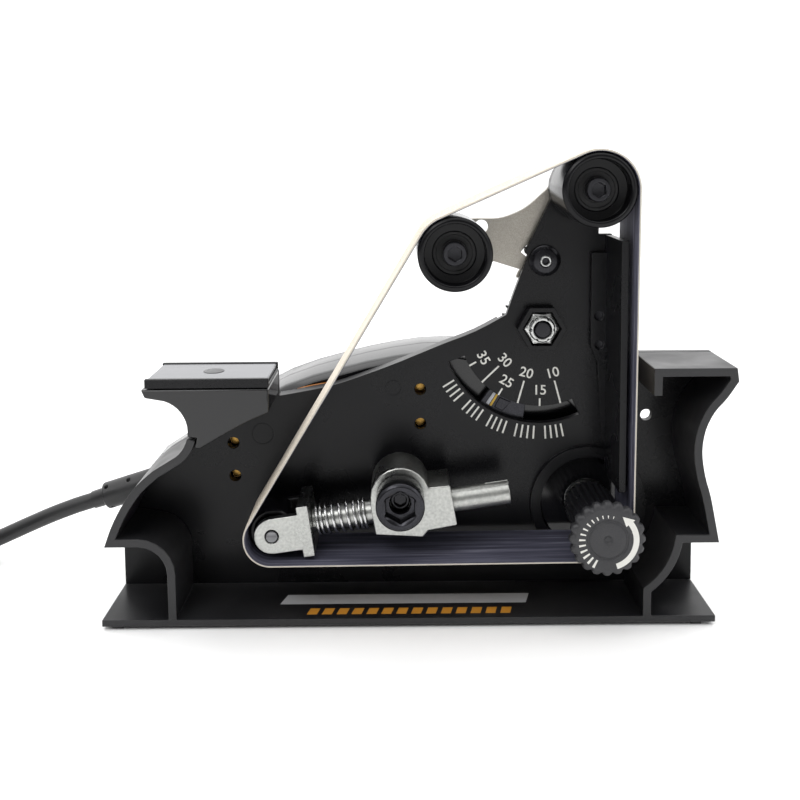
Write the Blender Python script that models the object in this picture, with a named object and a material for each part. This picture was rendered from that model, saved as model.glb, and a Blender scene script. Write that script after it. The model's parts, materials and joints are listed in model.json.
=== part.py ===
"""Bench belt grinder: open housing with three guide rollers, an angle scale, a sprung tension
arm and a corded power unit behind it.

Bench frame, in millimetres: X to the right, Y away from the belt's front edge, Z up from the
bench. The empty called bench carries everything and centres the footprint on the origin.
"""
import math

import bmesh
import bpy
from mathutils import Vector

MM = 0.001

# Bench position that becomes the origin
CENTRE_X = 3.03
CENTRE_Y = 52.5

# Belt and rollers, (x, z) of each axle
BELT_WIDTH = 25.4
BELT_THICKNESS = 0.8
BELT_GAP = 0.25
TOP_AXLE = (62.8, 148.2)
LEFT_AXLE = (16.0, 127.6)
TENSION_AXLE = (-46.0, 32.3)
DRIVE_AXLE = (65.5, 33.6)
ROLLER_R = 12.3
TENSION_ROLLER_R = 8.3
PULLEY_R = 8.9
AXLE_R = 3.0
BORE_R = 3.3

# Housing
BASE_LEFT, BASE_RIGHT = -104.2, 104.0
BASE_TOP = 3.5
STEP_Z = 30.4
WALL = 2.8
RIM_Y, WALL_BACK_Y, BASE_BACK_Y = 3.0, 28.0, 34.0
PLATE_Y, PLATE_BACK_Y = 28.3, 31.3
FLANGE_BACK_Y = 34.3
THROUGH = (20.0, 40.0)  # y span of a cutter that passes right through the plate
GAP = 0.3
ARCH = (-84.2, 68.7)
ARCH_R = 10.9
PLATEN_SCREWS = [(68.6, 102.5), (68.9, 92.0)]

# Angle scale: the carrier turns about the top axle, the pointer about the pivot
PIVOT = (48.0, 98.35)
GUIDE_SCREW = (49.5, 122.2)
PINION_TEETH, SECTOR_TEETH = 26, 78
CARRIER_Y, CARRIER_BACK_Y = 31.6, 33.6
SLOT_INNER, SLOT_OUTER = 29.0, 35.3
POINTER_ANGLE = 239.0
TILT_UP, TILT_DOWN = 15.0, 10.0

# Tension unit
ROD_TILT = 8.0
ROD_Y = 12.7
ROD_R = 4.0
TRACKING = (-2.6, 45.0)

# Power unit
SHELL_Y, SPLIT_Y, SHELL_BACK_Y = 36.0, 54.0, 72.0
SHELL_WALL = 2.5
BARREL_R = 32.0
HANDLE = [(62, 44, 18), (50, 57, 17.5), (34, 66.3, 17), (17, 70.6, 17), (-2, 69.0, 17),
          (-21, 64.8, 17), (-39.5, 59.6, 16.5), (-60, 50.5, 14.5), (-77, 42.2, 11.8), (-93.5, 35, 9)]
TRIGGER = (-4.0, 15.0)
LOCK_BUTTON = (-16.0, 64.0)
SPEED_DIAL = (-46.0, 56.5)
SHELL_SCREWS = [(-74.0, 44.5), (-30.0, 70.5), (30.0, 66.0)]

# Cord: its free stretch runs from the strain relief down to the bench and along to the coil
CORD_Y = 54.15
CORD_SLOPE = 17.4
CORD_R = 3.1
COIL_CENTRE = (-212.0, 16.0)
COIL_R = 36.0
COIL_WIDTH = 19.2
COIL_HEIGHT = 18.9
LEAD_IN = [(-123.4, 54.15, 25.63), (-131.0, 54.2, 23.2), (-140.0, 54.3, 19.8), (-149.0, 54.5, 15.9),
           (-157.5, 54.9, 12.0), (-165.5, 55.4, 8.4), (-173.0, 56.1, 5.6), (-179.5, 56.8, 4.0),
           (-185.0, 57.5, 3.4)]
TAIL = [(-221.2, 64.5, 15.7), (-227.9, 68.9, 14.3), (-233.0, 74.9, 11.8), (-236.3, 82.3, 8.6),
        (-238.0, 90.5, 6.3), (-238.4, 98.5, 5.6)]

# colour (linear), roughness, metallic
FINISHES = {
    "satin_black": ((0.020, 0.020, 0.022), 0.45, 0.0),
    "textured_black": ((0.032, 0.032, 0.034), 0.62, 0.0),
    "gloss_black": ((0.010, 0.010, 0.012), 0.18, 0.0),
    "steel": ((0.42, 0.41, 0.38), 0.38, 1.0),
    "bright_steel": ((0.72, 0.72, 0.72), 0.22, 1.0),
    "dark_steel": ((0.06, 0.06, 0.065), 0.35, 1.0),
    "zinc": ((0.60, 0.61, 0.60), 0.42, 1.0),
    "belt": ((0.10, 0.105, 0.13), 0.85, 0.0),
    "yellow": ((0.75, 0.42, 0.03), 0.5, 0.0),
    "copper": ((0.75, 0.33, 0.15), 0.35, 1.0),
    "rubber": ((0.015, 0.015, 0.016), 0.75, 0.0),
    "brass": ((0.75, 0.55, 0.22), 0.3, 1.0),
}


def clear_scene():
    for obj in list(bpy.data.objects):
        bpy.data.objects.remove(obj, do_unlink=True)


# ---------------------------------------------------------------- outlines in a plane

def arc(centre, radius, start, end, steps=8):
    """Points on a circle from one angle to another, in degrees counted from +X towards +Z."""
    angles = [math.radians(start + (end - start) * i / steps) for i in range(steps + 1)]
    return [(centre[0] + radius * math.cos(a), centre[1] + radius * math.sin(a)) for a in angles]


def smooth(points, steps=5):
    """A Catmull-Rom curve through the points."""
    ends = [points[0]] + list(points) + [points[-1]]
    out = []
    for a, b, c, d in zip(ends, ends[1:], ends[2:], ends[3:]):
        for i in range(steps):
            t = i / steps
            out.append(tuple(
                0.5 * (2 * q + (r - p) * t + (2 * p - 5 * q + 4 * r - s) * t * t
                       + (3 * q - p - 3 * r + s) * t ** 3)
                for p, q, r, s in zip(a, b, c, d)))
    out.append(tuple(points[-1]))
    return out


def offset(path, distance):
    """The path moved to its left by the distance, with mitred corners."""
    out = []
    for i, point in enumerate(path):
        before = Vector(point) - Vector(path[i - 1]) if i else None
        after = Vector(path[i + 1]) - Vector(point) if i + 1 < len(path) else None
        runs = [run.normalized() for run in (before, after) if run is not None]
        normals = [Vector((-run.y, run.x)) for run in runs]
        mean = sum(normals, Vector((0.0, 0.0))).normalized()
        step = distance / mean.dot(normals[0])
        out.append((point[0] + mean.x * step, point[1] + mean.y * step))
    return out


def ribbon(path, thickness):
    return offset(path, thickness / 2) + offset(path, -thickness / 2)[::-1]


def gear(teeth, radius, centre, first, count, tip=0.75, root=1.15, width=1.05):
    """Straight-sided teeth centred on the angles first, first + 360/teeth and so on."""
    points = []
    for i in range(count):
        mid = math.radians(first + 360.0 * i / teeth)
        for level, half in ((-root, 0.72), (tip, 0.30), (tip, -0.30), (-root, -0.72)):
            angle = mid - half * width / radius
            reach = radius + level
            points.append((centre[0] + reach * math.cos(angle), centre[1] + reach * math.sin(angle)))
    return points


def lobed(centre, high, low, lobes):
    """A round outline that steps between two radii, with four points to a lobe."""
    steps = [high, high, low, low] * lobes
    angles = [math.tau * i / len(steps) for i in range(len(steps))]
    return [(centre[0] + r * math.cos(a), centre[1] + r * math.sin(a)) for r, a in zip(steps, angles)]


def belt_loop(extra, steps=10):
    """Clockwise loop round the four wheels, each grown by extra."""
    wheels = [(TOP_AXLE, ROLLER_R), (DRIVE_AXLE, PULLEY_R), (TENSION_AXLE, TENSION_ROLLER_R),
              (LEFT_AXLE, ROLLER_R)]
    normals = []
    for (a, ra), (b, rb) in zip(wheels, wheels[1:] + wheels[:1]):
        run = Vector(b) - Vector(a)
        tilt = math.asin((ra - rb) / run.length)
        normals.append(math.degrees(math.atan2(run.y, run.x) + math.pi / 2 - tilt))
    points = []
    for i, (centre, radius) in enumerate(wheels):
        start = normals[i - 1]
        turn = (start - normals[i]) % 360.0
        points += arc(centre, radius + extra, start, start - turn, steps)
    return points


# ---------------------------------------------------------------- solids

def material(name, finish):
    colour, roughness, metallic = FINISHES[finish]
    mat = bpy.data.materials.new(name)
    mat.use_nodes = True
    shader = mat.node_tree.nodes["Principled BSDF"]
    shader.inputs["Base Color"].default_value = (*colour, 1.0)
    shader.inputs["Roughness"].default_value = roughness
    shader.inputs["Metallic"].default_value = metallic
    return mat


def add_object(name, bm, finish, parent, place=(0, 0, 0)):
    """Makes the object from a mesh in millimetres; place is its origin in its parent."""
    bmesh.ops.scale(bm, vec=(MM, MM, MM), verts=bm.verts)
    bmesh.ops.remove_doubles(bm, verts=bm.verts, dist=1e-7)
    bmesh.ops.recalc_face_normals(bm, faces=bm.faces)
    mesh = bpy.data.meshes.new(name)
    bm.to_mesh(mesh)
    bm.free()
    mesh.shade_smooth()
    mesh.set_sharp_from_angle(angle=math.radians(35))
    obj = bpy.data.objects.new(name, mesh)
    bpy.context.scene.collection.objects.link(obj)
    if finish:
        mesh.materials.append(material(name, finish))
    obj.parent = parent
    obj.location = Vector(place) * MM
    return obj


def empty(name, place, parent=None):
    obj = bpy.data.objects.new(name, None)
    bpy.context.scene.collection.objects.link(obj)
    obj.parent = parent
    obj.location = Vector(place) * MM
    return obj


AXES = {"X": lambda u, v, w: (w, u, v), "Y": lambda u, v, w: (u, w, v), "Z": lambda u, v, w: (u, v, w)}


def prism(name, outline, start, end, finish, parent, axis="Y", origin=(0, 0, 0)):
    """An outline extruded along an axis. Y outlines hold (x, z), X hold (y, z), Z hold (x, y)."""
    bm = bmesh.new()
    base = Vector(origin)
    verts = [bm.verts.new(Vector(AXES[axis](u, v, start)) - base) for u, v in outline]
    face = bm.faces.new(verts)
    grown = bmesh.ops.extrude_face_region(bm, geom=[face])["geom"]
    move = Vector(AXES[axis](0, 0, end - start))
    bmesh.ops.translate(bm, vec=move, verts=[v for v in grown if isinstance(v, bmesh.types.BMVert)])
    return add_object(name, bm, finish, parent, origin)


def box(name, low, high, finish, parent):
    (x0, y0, z0), (x1, y1, z1) = low, high
    return prism(name, [(x0, z0), (x1, z0), (x1, z1), (x0, z1)], y0, y1, finish, parent)


def loft(name, layers, finish, parent, origin=(0, 0, 0)):
    """Closed body through equal-count (x, z) outlines at rising y; layers are (y, outline)."""
    bm = bmesh.new()
    base = Vector(origin)
    rings = [[bm.verts.new(Vector((x, y, z)) - base) for x, z in outline] for y, outline in layers]
    for low, high in zip(rings, rings[1:]):
        for i in range(len(low)):
            bm.faces.new((low[i - 1], low[i], high[i], high[i - 1]))
    bm.faces.new(rings[0])
    bm.faces.new(rings[-1][::-1])
    return add_object(name, bm, finish, parent, origin)


def turned(name, profile, place, finish, parent, direction=(0, 1, 0), segments=32):
    """A closed (radius, distance) profile turned about the direction through place."""
    bm = bmesh.new()
    verts = [bm.verts.new((r, 0.0, along)) for r, along in profile]
    edges = []
    for i in range(len(verts)):
        if profile[i - 1][0] > 0 or profile[i][0] > 0:
            edges.append(bm.edges.new((verts[i - 1], verts[i])))
    bmesh.ops.spin(bm, geom=verts + edges, cent=(0, 0, 0), axis=(0, 0, 1), angle=2 * math.pi,
                   steps=segments, use_merge=True)
    obj = add_object(name, bm, finish, parent, place)
    obj.rotation_mode = "QUATERNION"
    obj.rotation_quaternion = Vector(direction).to_track_quat("Z", "Y")
    return obj


def disc(radius, start, end):
    return [(0, start), (radius, start), (radius, end), (0, end)]


def tube(inner, outer, start, end):
    return [(inner, start), (outer, start), (outer, end), (inner, end)]


def merge(target, tool, operation="UNION"):
    """Joins or cuts with another body, which is then only a hidden tool."""
    tool.hide_render = True
    tool.display_type = "WIRE"
    step = target.modifiers.new(tool.name, "BOOLEAN")
    step.operation = operation
    step.solver = "EXACT"
    step.object = tool


def cut(target, tool):
    merge(target, tool, "DIFFERENCE")


def drill(target, point, radius, start, end, parent, segments=20):
    """A round hole along Y through the (x, z) point."""
    tool = turned(f"{target.name}_hole", disc(radius, 0, end - start), (point[0], start, point[1]), None,
                  parent, segments=segments)
    cut(target, tool)


def screw(name, point, head_y, tip_y, parent, head_r=3.0, shank_r=1.5, head=1.8, finish="dark_steel"):
    """Screw along Y; the head sits on head_y, on the side away from the tip."""
    away = 1.0 if head_y > tip_y else -1.0
    length = abs(head_y - tip_y)
    profile = [(0, -length), (shank_r, -length), (shank_r, 0), (head_r, 0), (head_r, head * 0.6),
               (head_r * 0.8, head), (1.3, head), (1.3, head * 0.4), (0, head * 0.4)]
    return turned(name, profile, (point[0], head_y, point[1]), finish, parent, (0, away, 0), 12)


def hexagon(centre, radius, turn=0.0):
    return arc(centre, radius, turn, turn + 300.0, 5)


# ---------------------------------------------------------------- housing

def left_wall_path():
    arch = arc(ARCH, 12.3, -13, -52, 5)
    flank = smooth([(-84.5, 54.2), (-90.4, 48.9), (-95.3, 42.0), (-98.6, 35.6), (-100.6, STEP_Z)], 3)
    return arch + flank


def right_wall_path():
    return smooth([(108.8, 84.6), (105.2, 79.3), (101.2, 74.6), (98.2, 68.2), (97.1, 60.5), (98.2, 52.0),
                   (100.3, 44.5), (101.9, 36.5), (103.1, STEP_Z)], 3)


def build_housing(bench):
    housing = box("bench_housing", (BASE_LEFT, RIM_Y, 1.2), (BASE_RIGHT, BASE_BACK_Y, BASE_TOP),
                  "textured_black", bench)
    left = left_wall_path() + [(-91.5, STEP_Z)] + arc((-91.4, 19.2), 11.2, 88, 0, 6) + [(-80.2, 2.5)]
    right = [(83.4, 79.6), (83.4, 87.4), (108.4, 87.4)] + right_wall_path()
    right += arc(DRIVE_AXLE, 26.0, -7, -54, 8) + [(80.8, 2.5)]
    for name, path in (("left_wall", left), ("right_wall", right)):
        merge(housing, prism(name, ribbon(path, WALL), RIM_Y, WALL_BACK_Y, None, bench))
    for name, x in (("left_runner", -101.0), ("right_runner", 96.0)):
        merge(housing, box(name, (x, RIM_Y + 1, 0.0), (x + 3.6, BASE_BACK_Y - 1, 1.6), None, bench))
    return housing


def plate_outline():
    """Outline of the main plate, clockwise from the arm's round top."""
    arm_top = arc(TOP_AXLE, 11.8, 200, -60, 16)
    arm_right = [(68.7, 131.5), (73.4, 131.5), (73.4, 88.8), (109.6, 88.8)]
    right = offset(right_wall_path(), WALL / 2)
    foot = [(104.5, 29.0), (103.8, 29.0), (103.8, 3.8), (-103.8, 3.8), (-103.8, 29.0)]
    left = offset(left_wall_path(), -WALL / 2)[::-1]
    block = arc(ARCH, ARCH_R, 0, 72, 6) + [(-80.3, 82.8), (-46.2, 82.8)]
    edge = plate_top_edge()
    arm_left = smooth([(38.4, 110.0), (41.4, 118.1), (43.2, 123.0)], 2)
    bump = arc((44.0, 125.6), 1.6, 250, 110, 4)
    return arm_top + arm_right + right + foot + left + block + edge + arm_left + bump


def plate_top_edge():
    return smooth([(-46.2, 73.8), (-37.2, 75.4), (-26.0, 77.7), (-15.2, 81.2), (-2.5, 85.9), (12.9, 92.2),
                   (24.8, 96.8), (35.9, 102.7)], 3)


def build_plate(bench):
    plate = prism("main_plate", plate_outline(), PLATE_Y, PLATE_BACK_Y, "satin_black", bench)
    rim = ribbon(offset(plate_top_edge()[:-1], -1.25), 2.5)
    merge(plate, prism("plate_rim", rim, PLATE_BACK_Y - 1, FLANGE_BACK_Y, None, bench))
    boss = prism("hex_boss", hexagon(PIVOT, 8.7), 23.4, PLATE_Y + 1, None, bench)
    merge(plate, boss)
    ring = turned("drive_ring", disc(21.0, 0, 3), (DRIVE_AXLE[0], 26.3, DRIVE_AXLE[1]), None, bench,
                  segments=48)
    merge(plate, ring)
    cut(plate, prism("hex_pocket", hexagon(PIVOT, 6.9), 20.0, 27.4, None, bench))
    drill(plate, PIVOT, BORE_R, *THROUGH, bench)
    drill(plate, DRIVE_AXLE, 17.3, *THROUGH, bench, 36)
    drill(plate, TOP_AXLE, BORE_R, *THROUGH, bench)
    drill(plate, GUIDE_SCREW, 2.3, *THROUGH, bench)
    drill(plate, TRACKING, 2.3, *THROUGH, bench)
    for point in ((-62.9, 56.6), (-62.5, 44.4), (4.9, 75.8), (4.9, 63.1), (86.5, 65.7)):
        drill(plate, point, 2.1, *THROUGH, bench, 16)
    slot = arc(PIVOT, SLOT_INNER, 201, 294, 18) + arc(PIVOT, SLOT_OUTER, 294, 201, 18)
    cut(plate, prism("scale_slot", slot, *THROUGH, None, bench))
    for point in PLATEN_SCREWS:
        drill(plate, point, 1.8, *THROUGH, bench, 16)
    return plate


def build_platen(bench):
    flange = [(65.7, 125.1), (65.6, 91.9), (68.2, 85.3), (70.0, 56.6), (73.4, 56.6),
              (73.4, 131.2), (71.1, 131.2), (70.9, 125.1)]
    platen = prism("platen", flange, 25.6, 28.0, "satin_black", bench)
    merge(platen, box("platen_face", (71.1, 4.7, 46.0), (73.4, 26.0, 131.2), None, bench))
    for number, point in enumerate(PLATEN_SCREWS, 1):
        drill(platen, point, 1.8, *THROUGH, bench, 16)
        screw(f"platen_screw_{number}", point, PLATE_BACK_Y + GAP, 26.4, bench)
    return platen


def build_left_rest(bench):
    outline = [(-88.5, 83.1), (-87.3, 80.2)] + arc(ARCH, ARCH_R, 72, -9, 9)
    outline += arc(ARCH, 14.1, -9, -23, 3)
    outline += smooth([(-69.3, 62.9), (-60.1, 68.3), (-52.5, 72.3), (-46.2, 75.0)], 3) + [(-46.0, 83.1)]
    prism("left_rest_block", outline, RIM_Y, WALL_BACK_Y, "gloss_black", bench)
    tray = [(3.0, 83.4), (28.0, 83.4), (28.0, 86.6), (26.2, 86.6), (26.2, 84.6), (4.8, 84.6), (4.8, 86.6),
            (3.0, 86.6)]
    prism("rest_tray", tray, -87.2, -46.0, "satin_black", bench, "X")
    box("rest_plate", (-86.6, 5.1, 84.9), (-46.4, 25.9, 86.3), "bright_steel", bench)


# ---------------------------------------------------------------- rollers

def roller_profile(radius, length):
    """Crowned drum with a recess and a bearing seat at each end, front at distance 0."""
    crown = [(radius - 0.15, 0.0), (radius - 0.02, length * 0.2), (radius, length * 0.5),
             (radius - 0.02, length * 0.8), (radius - 0.15, length)]
    lip, seat, bore = radius - 2.2, 7.1, 4.2
    front = [(bore, 11.4), (seat + GAP, 11.4), (seat + GAP, 6.0), (lip, 6.0), (lip, 0.0)]
    back = [(lip, length), (lip, length - 4.0), (seat + GAP, length - 4.0), (seat + GAP, length - 9.4),
            (bore, length - 9.4)]
    return front + crown + back


def build_roller(side, axle, nut_face, holder):
    """A guide roller on two bearings with its axle screw, spacer and nut."""
    start = -0.3
    length = BELT_WIDTH + 0.6
    place = (axle[0], start, axle[1])
    turned(f"{side}_roller", roller_profile(ROLLER_R, length), place, "gloss_black", holder, segments=32)
    for end, y in (("front", 6.3), ("rear", length - 9.1)):
        turned(f"{side}_bearing_{end}", tube(BORE_R, 7.1, y, y + 4.8), place, "bright_steel", holder,
               segments=16)
    head = [(0, nut_face + 4.5), (AXLE_R, nut_face + 4.5), (AXLE_R, 6.0), (4.0, 6.0), (4.0, 2.0), (2.5, 2.0),
            (2.5, 4.4), (0, 4.4)]
    shaft = [(r, along - start) for r, along in head]
    turned(f"{side}_axle_screw", shaft, place, "dark_steel", holder, segments=16)
    nut = prism(f"{side}_axle_nut", hexagon(axle, 5.5, 30), nut_face, nut_face + 4.0, "steel", holder)
    drill(nut, axle, BORE_R, nut_face - 1, nut_face + 5, holder)


def build_angle_scale(bench):
    pitch = math.hypot(TOP_AXLE[0] - PIVOT[0], TOP_AXLE[1] - PIVOT[1]) / (PINION_TEETH + SECTOR_TEETH)
    sector_r, pinion_r = SECTOR_TEETH * pitch, PINION_TEETH * pitch
    line = math.degrees(math.atan2(PIVOT[1] - TOP_AXLE[1], PIVOT[0] - TOP_AXLE[0])) % 360.0

    sector = gear(SECTOR_TEETH, sector_r, TOP_AXLE, line - 4 * 360 / SECTOR_TEETH, 10)
    hub = arc(TOP_AXLE, 9.6, -40, 130, 10)
    upper = smooth([(50.6, 147.4), (43.9, 141.5), (38.5, 138.7), (33.2, 137.2), (26.5, 137.2)], 3)
    nose = arc(LEFT_AXLE, 9.8, 75, 300, 14)
    lower = [(31.8, 121.6), (41.2, 118.6)]
    outline = hub + upper + nose + lower + sector
    carrier = prism("tilt_carrier", outline, CARRIER_Y, CARRIER_BACK_Y, "steel", bench,
                    origin=(TOP_AXLE[0], 0, TOP_AXLE[1]))
    for point, radius in ((TOP_AXLE, BORE_R), (LEFT_AXLE, BORE_R), ((27.3, 134.2), 2.5)):
        drill(carrier, point, radius, *THROUGH, bench)
    reach = math.hypot(GUIDE_SCREW[0] - TOP_AXLE[0], GUIDE_SCREW[1] - TOP_AXLE[1])
    angle = math.degrees(math.atan2(GUIDE_SCREW[1] - TOP_AXLE[1], GUIDE_SCREW[0] - TOP_AXLE[0])) % 360.0
    low, high = angle - TILT_DOWN - 5.5, angle + TILT_UP + 5.5
    guide = arc(TOP_AXLE, reach - 2.4, low, high, 8) + arc(TOP_AXLE, reach + 2.4, high, low, 8)
    cut(carrier, prism("guide_slot", guide, *THROUGH, None, bench))

    first = line + 180.0 + 180.0 / PINION_TEETH
    pinion = prism("angle_pointer", gear(PINION_TEETH, pinion_r, PIVOT, first, PINION_TEETH), CARRIER_Y,
                   CARRIER_BACK_Y, "steel", bench, origin=(PIVOT[0], 0, PIVOT[1]))
    arm = arc(PIVOT, 10.0, POINTER_ANGLE + 16, POINTER_ANGLE - 16, 4)
    arm += arc(PIVOT, 30.0, POINTER_ANGLE - 5, POINTER_ANGLE + 5, 2)
    shoe = arc(PIVOT, 28.5, POINTER_ANGLE - 6, POINTER_ANGLE + 22, 6)
    shoe += arc(PIVOT, 36.0, POINTER_ANGLE + 22, POINTER_ANGLE - 6, 6)
    merge(pinion, prism("pointer_arm", arm, CARRIER_Y, CARRIER_BACK_Y, None, bench))
    merge(pinion, prism("pointer_shoe", shoe, CARRIER_Y, CARRIER_BACK_Y, None, bench))
    drill(pinion, PIVOT, BORE_R, *THROUGH, bench)

    nut = prism("lock_nut", hexagon(PIVOT, 6.3), 23.2, 27.1, "bright_steel", bench)
    crown = turned("nut_crown", disc(4.5, 0, 2), (PIVOT[0], 22.0, PIVOT[1]), None, bench, segments=24)
    merge(nut, crown)
    drill(nut, PIVOT, BORE_R, 20, 30, bench)
    turned("lock_bolt", [(0, 0), (AXLE_R, 0), (AXLE_R, 22), (0, 22)], (PIVOT[0], 21.6, PIVOT[1]),
           "dark_steel", bench, segments=20)
    knob = prism("lock_knob", lobed(PIVOT, 11.0, 9.6, 8), 34.0, 46.0, "satin_black", bench,
                 origin=(PIVOT[0], 0, PIVOT[1]))
    drill(knob, PIVOT, BORE_R, 33.0, 44.0, bench)

    dome = [(2.0, 13.0), (2.0, 0.0), (5.6, 0.0), (5.0, -1.4), (3.4, -2.4), (2.2, -2.6), (2.2, -1.2),
            (0, -1.2), (0, 13.0)]
    turned("guide_screw", dome, (GUIDE_SCREW[0], PLATE_Y - GAP, GUIDE_SCREW[1]), "dark_steel", bench,
           segments=16)
    guide_nut = prism("guide_nut", hexagon(GUIDE_SCREW, 4.6), CARRIER_BACK_Y + GAP, 36.9, "steel", bench)
    drill(guide_nut, GUIDE_SCREW, 2.3, 30, 40, bench)


# ---------------------------------------------------------------- tension unit

def build_tension(bench):
    """Everything on the rod is built level, about an empty that tilts it onto the rod's line."""
    unit = empty("tension_line", (TENSION_AXLE[0], ROD_Y, TENSION_AXLE[1]), bench)
    unit.rotation_euler = (0.0, -math.radians(ROD_TILT), 0.0)

    ear = [(9.8, -6.1), (9.8, 6.1)] + arc((0, 0), 6.1, 90, 270, 10)
    rod = turned("tension_rod", disc(ROD_R, 0, 69.5), (12.5, 0, 0), "zinc", unit, (1, 0, 0), 28)
    merge(rod, box("clevis_back", (9.5, -9.6, -8.8), (13.4, 9.6, 8.8), None, unit))
    for name, y in (("front_ear", -9.6), ("rear_ear", 6.6)):
        merge(rod, prism(name, ear, y, y + 3.0, None, unit))
    drill(rod, (0, 0), 2.3, -12, 12, unit)
    cut(rod, box("rod_slot", (74.0, -0.6, 2.6), (84.0, 0.6, 5.0), None, unit))
    turned("tension_pin", disc(2.0, -9.9, 9.9), (0, 0, 0), "bright_steel", unit, segments=20)
    drum = [(2.4, -6.2), (7.7, -6.2), (8.2, -3.0), (TENSION_ROLLER_R, 0), (8.2, 3.0), (7.7, 6.2), (2.4, 6.2)]
    turned("tension_roller", drum, (0, 0, 0), "gloss_black", unit, segments=28)
    turned("tension_spring", tube(4.5, 5.6, 14.0, 32.8), (0, 0, 0), "bright_steel", unit, (1, 0, 0), 20)

    block = [(-11.0, 31.8), (5.0, 30.9), (6.9, 33.2), (16.6, 35.0), (14.2, 48.8), (8.4, 48.2)]
    block += arc(TRACKING, 10.0, 18, 180, 10) + [(-12.6, 41.0)]
    casting = prism("tension_block", block, 5.0, 22.0, "zinc", bench)
    merge(casting, turned("block_boss", disc(8.0, 0, 7), (TRACKING[0], 21.0, TRACKING[1]), None, bench))
    cut(casting, turned("rod_bore", disc(ROD_R + GAP, -60, 60), (40, 0, 0), None, unit, (1, 0, 0), 28))
    drill(casting, TRACKING, 2.3, 0, 30, bench)
    turned("tracking_screw", [(0, 0), (3.4, 0), (3.4, 2.4), (2.0, 2.4), (2.0, 28.5), (0, 28.5)],
           (TRACKING[0], 2.0, TRACKING[1]), "bright_steel", bench, segments=20)
    knob = turned("tracking_knob", [(2.3, 6.0), (5.0, 6.0), (5.0, 9.6), (8.1, 9.6), (8.1, 0.6), (7.4, 0),
                                    (4.0, 0), (4.0, 5.0), (2.3, 5.0)],
                  (TRACKING[0], -5.0, TRACKING[1]), "satin_black", bench, segments=24)
    socket = prism("hex_socket", hexagon(TRACKING, 5.7), -8.0, -0.6, None, bench)
    cut(knob, socket)


# ---------------------------------------------------------------- drive and power unit

def build_drive(bench):
    place = (DRIVE_AXLE[0], 0, DRIVE_AXLE[1])
    pulley = [(BORE_R, -0.3), (7.6, -0.3), (8.75, 0.5), (PULLEY_R, 12.7), (8.75, 25.0), (7.6, 25.7),
              (BORE_R, 25.7)]
    turned("drive_pulley", pulley, place, "dark_steel", bench, segments=32)
    shaft = [(0, 9), (2.3, 9), (2.3, 0.2), (AXLE_R, 0.2), (AXLE_R, 106), (0, 106)]
    turned("drive_shaft", shaft, place, "bright_steel", bench, segments=24)
    knob = prism("clamp_knob", lobed(DRIVE_AXLE, 12.6, 11.7, 20), -4.8, -0.9, "satin_black", bench,
                 origin=place)
    merge(knob, turned("knob_stud", disc(2.0, -2, 8), place, None, bench, segments=20))
    turned("shaft_bearing_front", tube(BORE_R, 8.1, 30, 35), place, "bright_steel", bench, segments=20)
    turned("shaft_bearing_rear", tube(BORE_R, 8.1, 102, 107), place, "bright_steel", bench, segments=20)
    turned("rotor", tube(BORE_R, 17.0, 52, 84), place, "steel", bench, segments=20)
    turned("commutator", tube(BORE_R, 8.0, 88, 97), place, "copper", bench, segments=20)
    turned("stator", tube(18.0, 27.5, 50, 86), place, "steel", bench, segments=28)
    cooling = prism("cooling_fan", lobed(DRIVE_AXLE, 24.0, 9.0, 12), 40.5, 46.5, "satin_black", bench,
                    origin=place)
    drill(cooling, DRIVE_AXLE, BORE_R, 35, 50, bench)


def handle_outline(inset, steps=2):
    """The handle's outline: a band of changing width about its centre line, round at the cord's end."""
    line = smooth(HANDLE, steps)
    left, right = [], []
    for i, (x, z, half) in enumerate(line):
        before, after = line[max(i - 1, 0)], line[min(i + 1, len(line) - 1)]
        run = Vector((after[0] - before[0], after[1] - before[1])).normalized()
        reach = half - inset
        left.append((x - run.y * reach, z + run.x * reach))
        right.append((x + run.y * reach, z - run.x * reach))
    x, z, half = line[-1]
    turn = math.degrees(math.atan2(left[-1][1] - z, left[-1][0] - x))
    return left + arc((x, z), half - inset, turn, turn + 180.0, 8)[1:-1] + right[::-1]


def power_shell(name, levels, pocket, bench, finish="gloss_black"):
    """Handle and barrel lofted through (y, inset) levels and hollowed over the pocket's y span."""
    shell = loft(name, [(y, handle_outline(inset)) for y, inset in levels], finish, bench)
    first, last = levels[0][0], levels[-1][0]
    barrel = loft(f"{name}_barrel", [(y + 0.15 * (1 if y == first else -1 if y == last else 0),
                                      arc(DRIVE_AXLE, BARREL_R - inset, 0, 350, 35))
                                     for y, inset in levels], None, bench)
    merge(shell, barrel)
    inner = loft(f"{name}_pocket", [(y, handle_outline(SHELL_WALL)) for y in pocket], None, bench)
    cut(shell, inner)
    cut(shell, turned(f"{name}_well", disc(BARREL_R - SHELL_WALL, 0, pocket[1] - pocket[0]),
                      (DRIVE_AXLE[0], pocket[0] + 0.2, DRIVE_AXLE[1]), None, bench, segments=36))
    return shell


def cord_point(distance):
    """A point on the cord outlet's axis, counted from the end of the handle's centre line."""
    slope = math.radians(CORD_SLOPE)
    end = HANDLE[-1]
    return (end[0] - distance * math.cos(slope), CORD_Y, end[1] - distance * math.sin(slope))


def cord_direction():
    slope = math.radians(CORD_SLOPE)
    return (-math.cos(slope), 0.0, -math.sin(slope))


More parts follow.
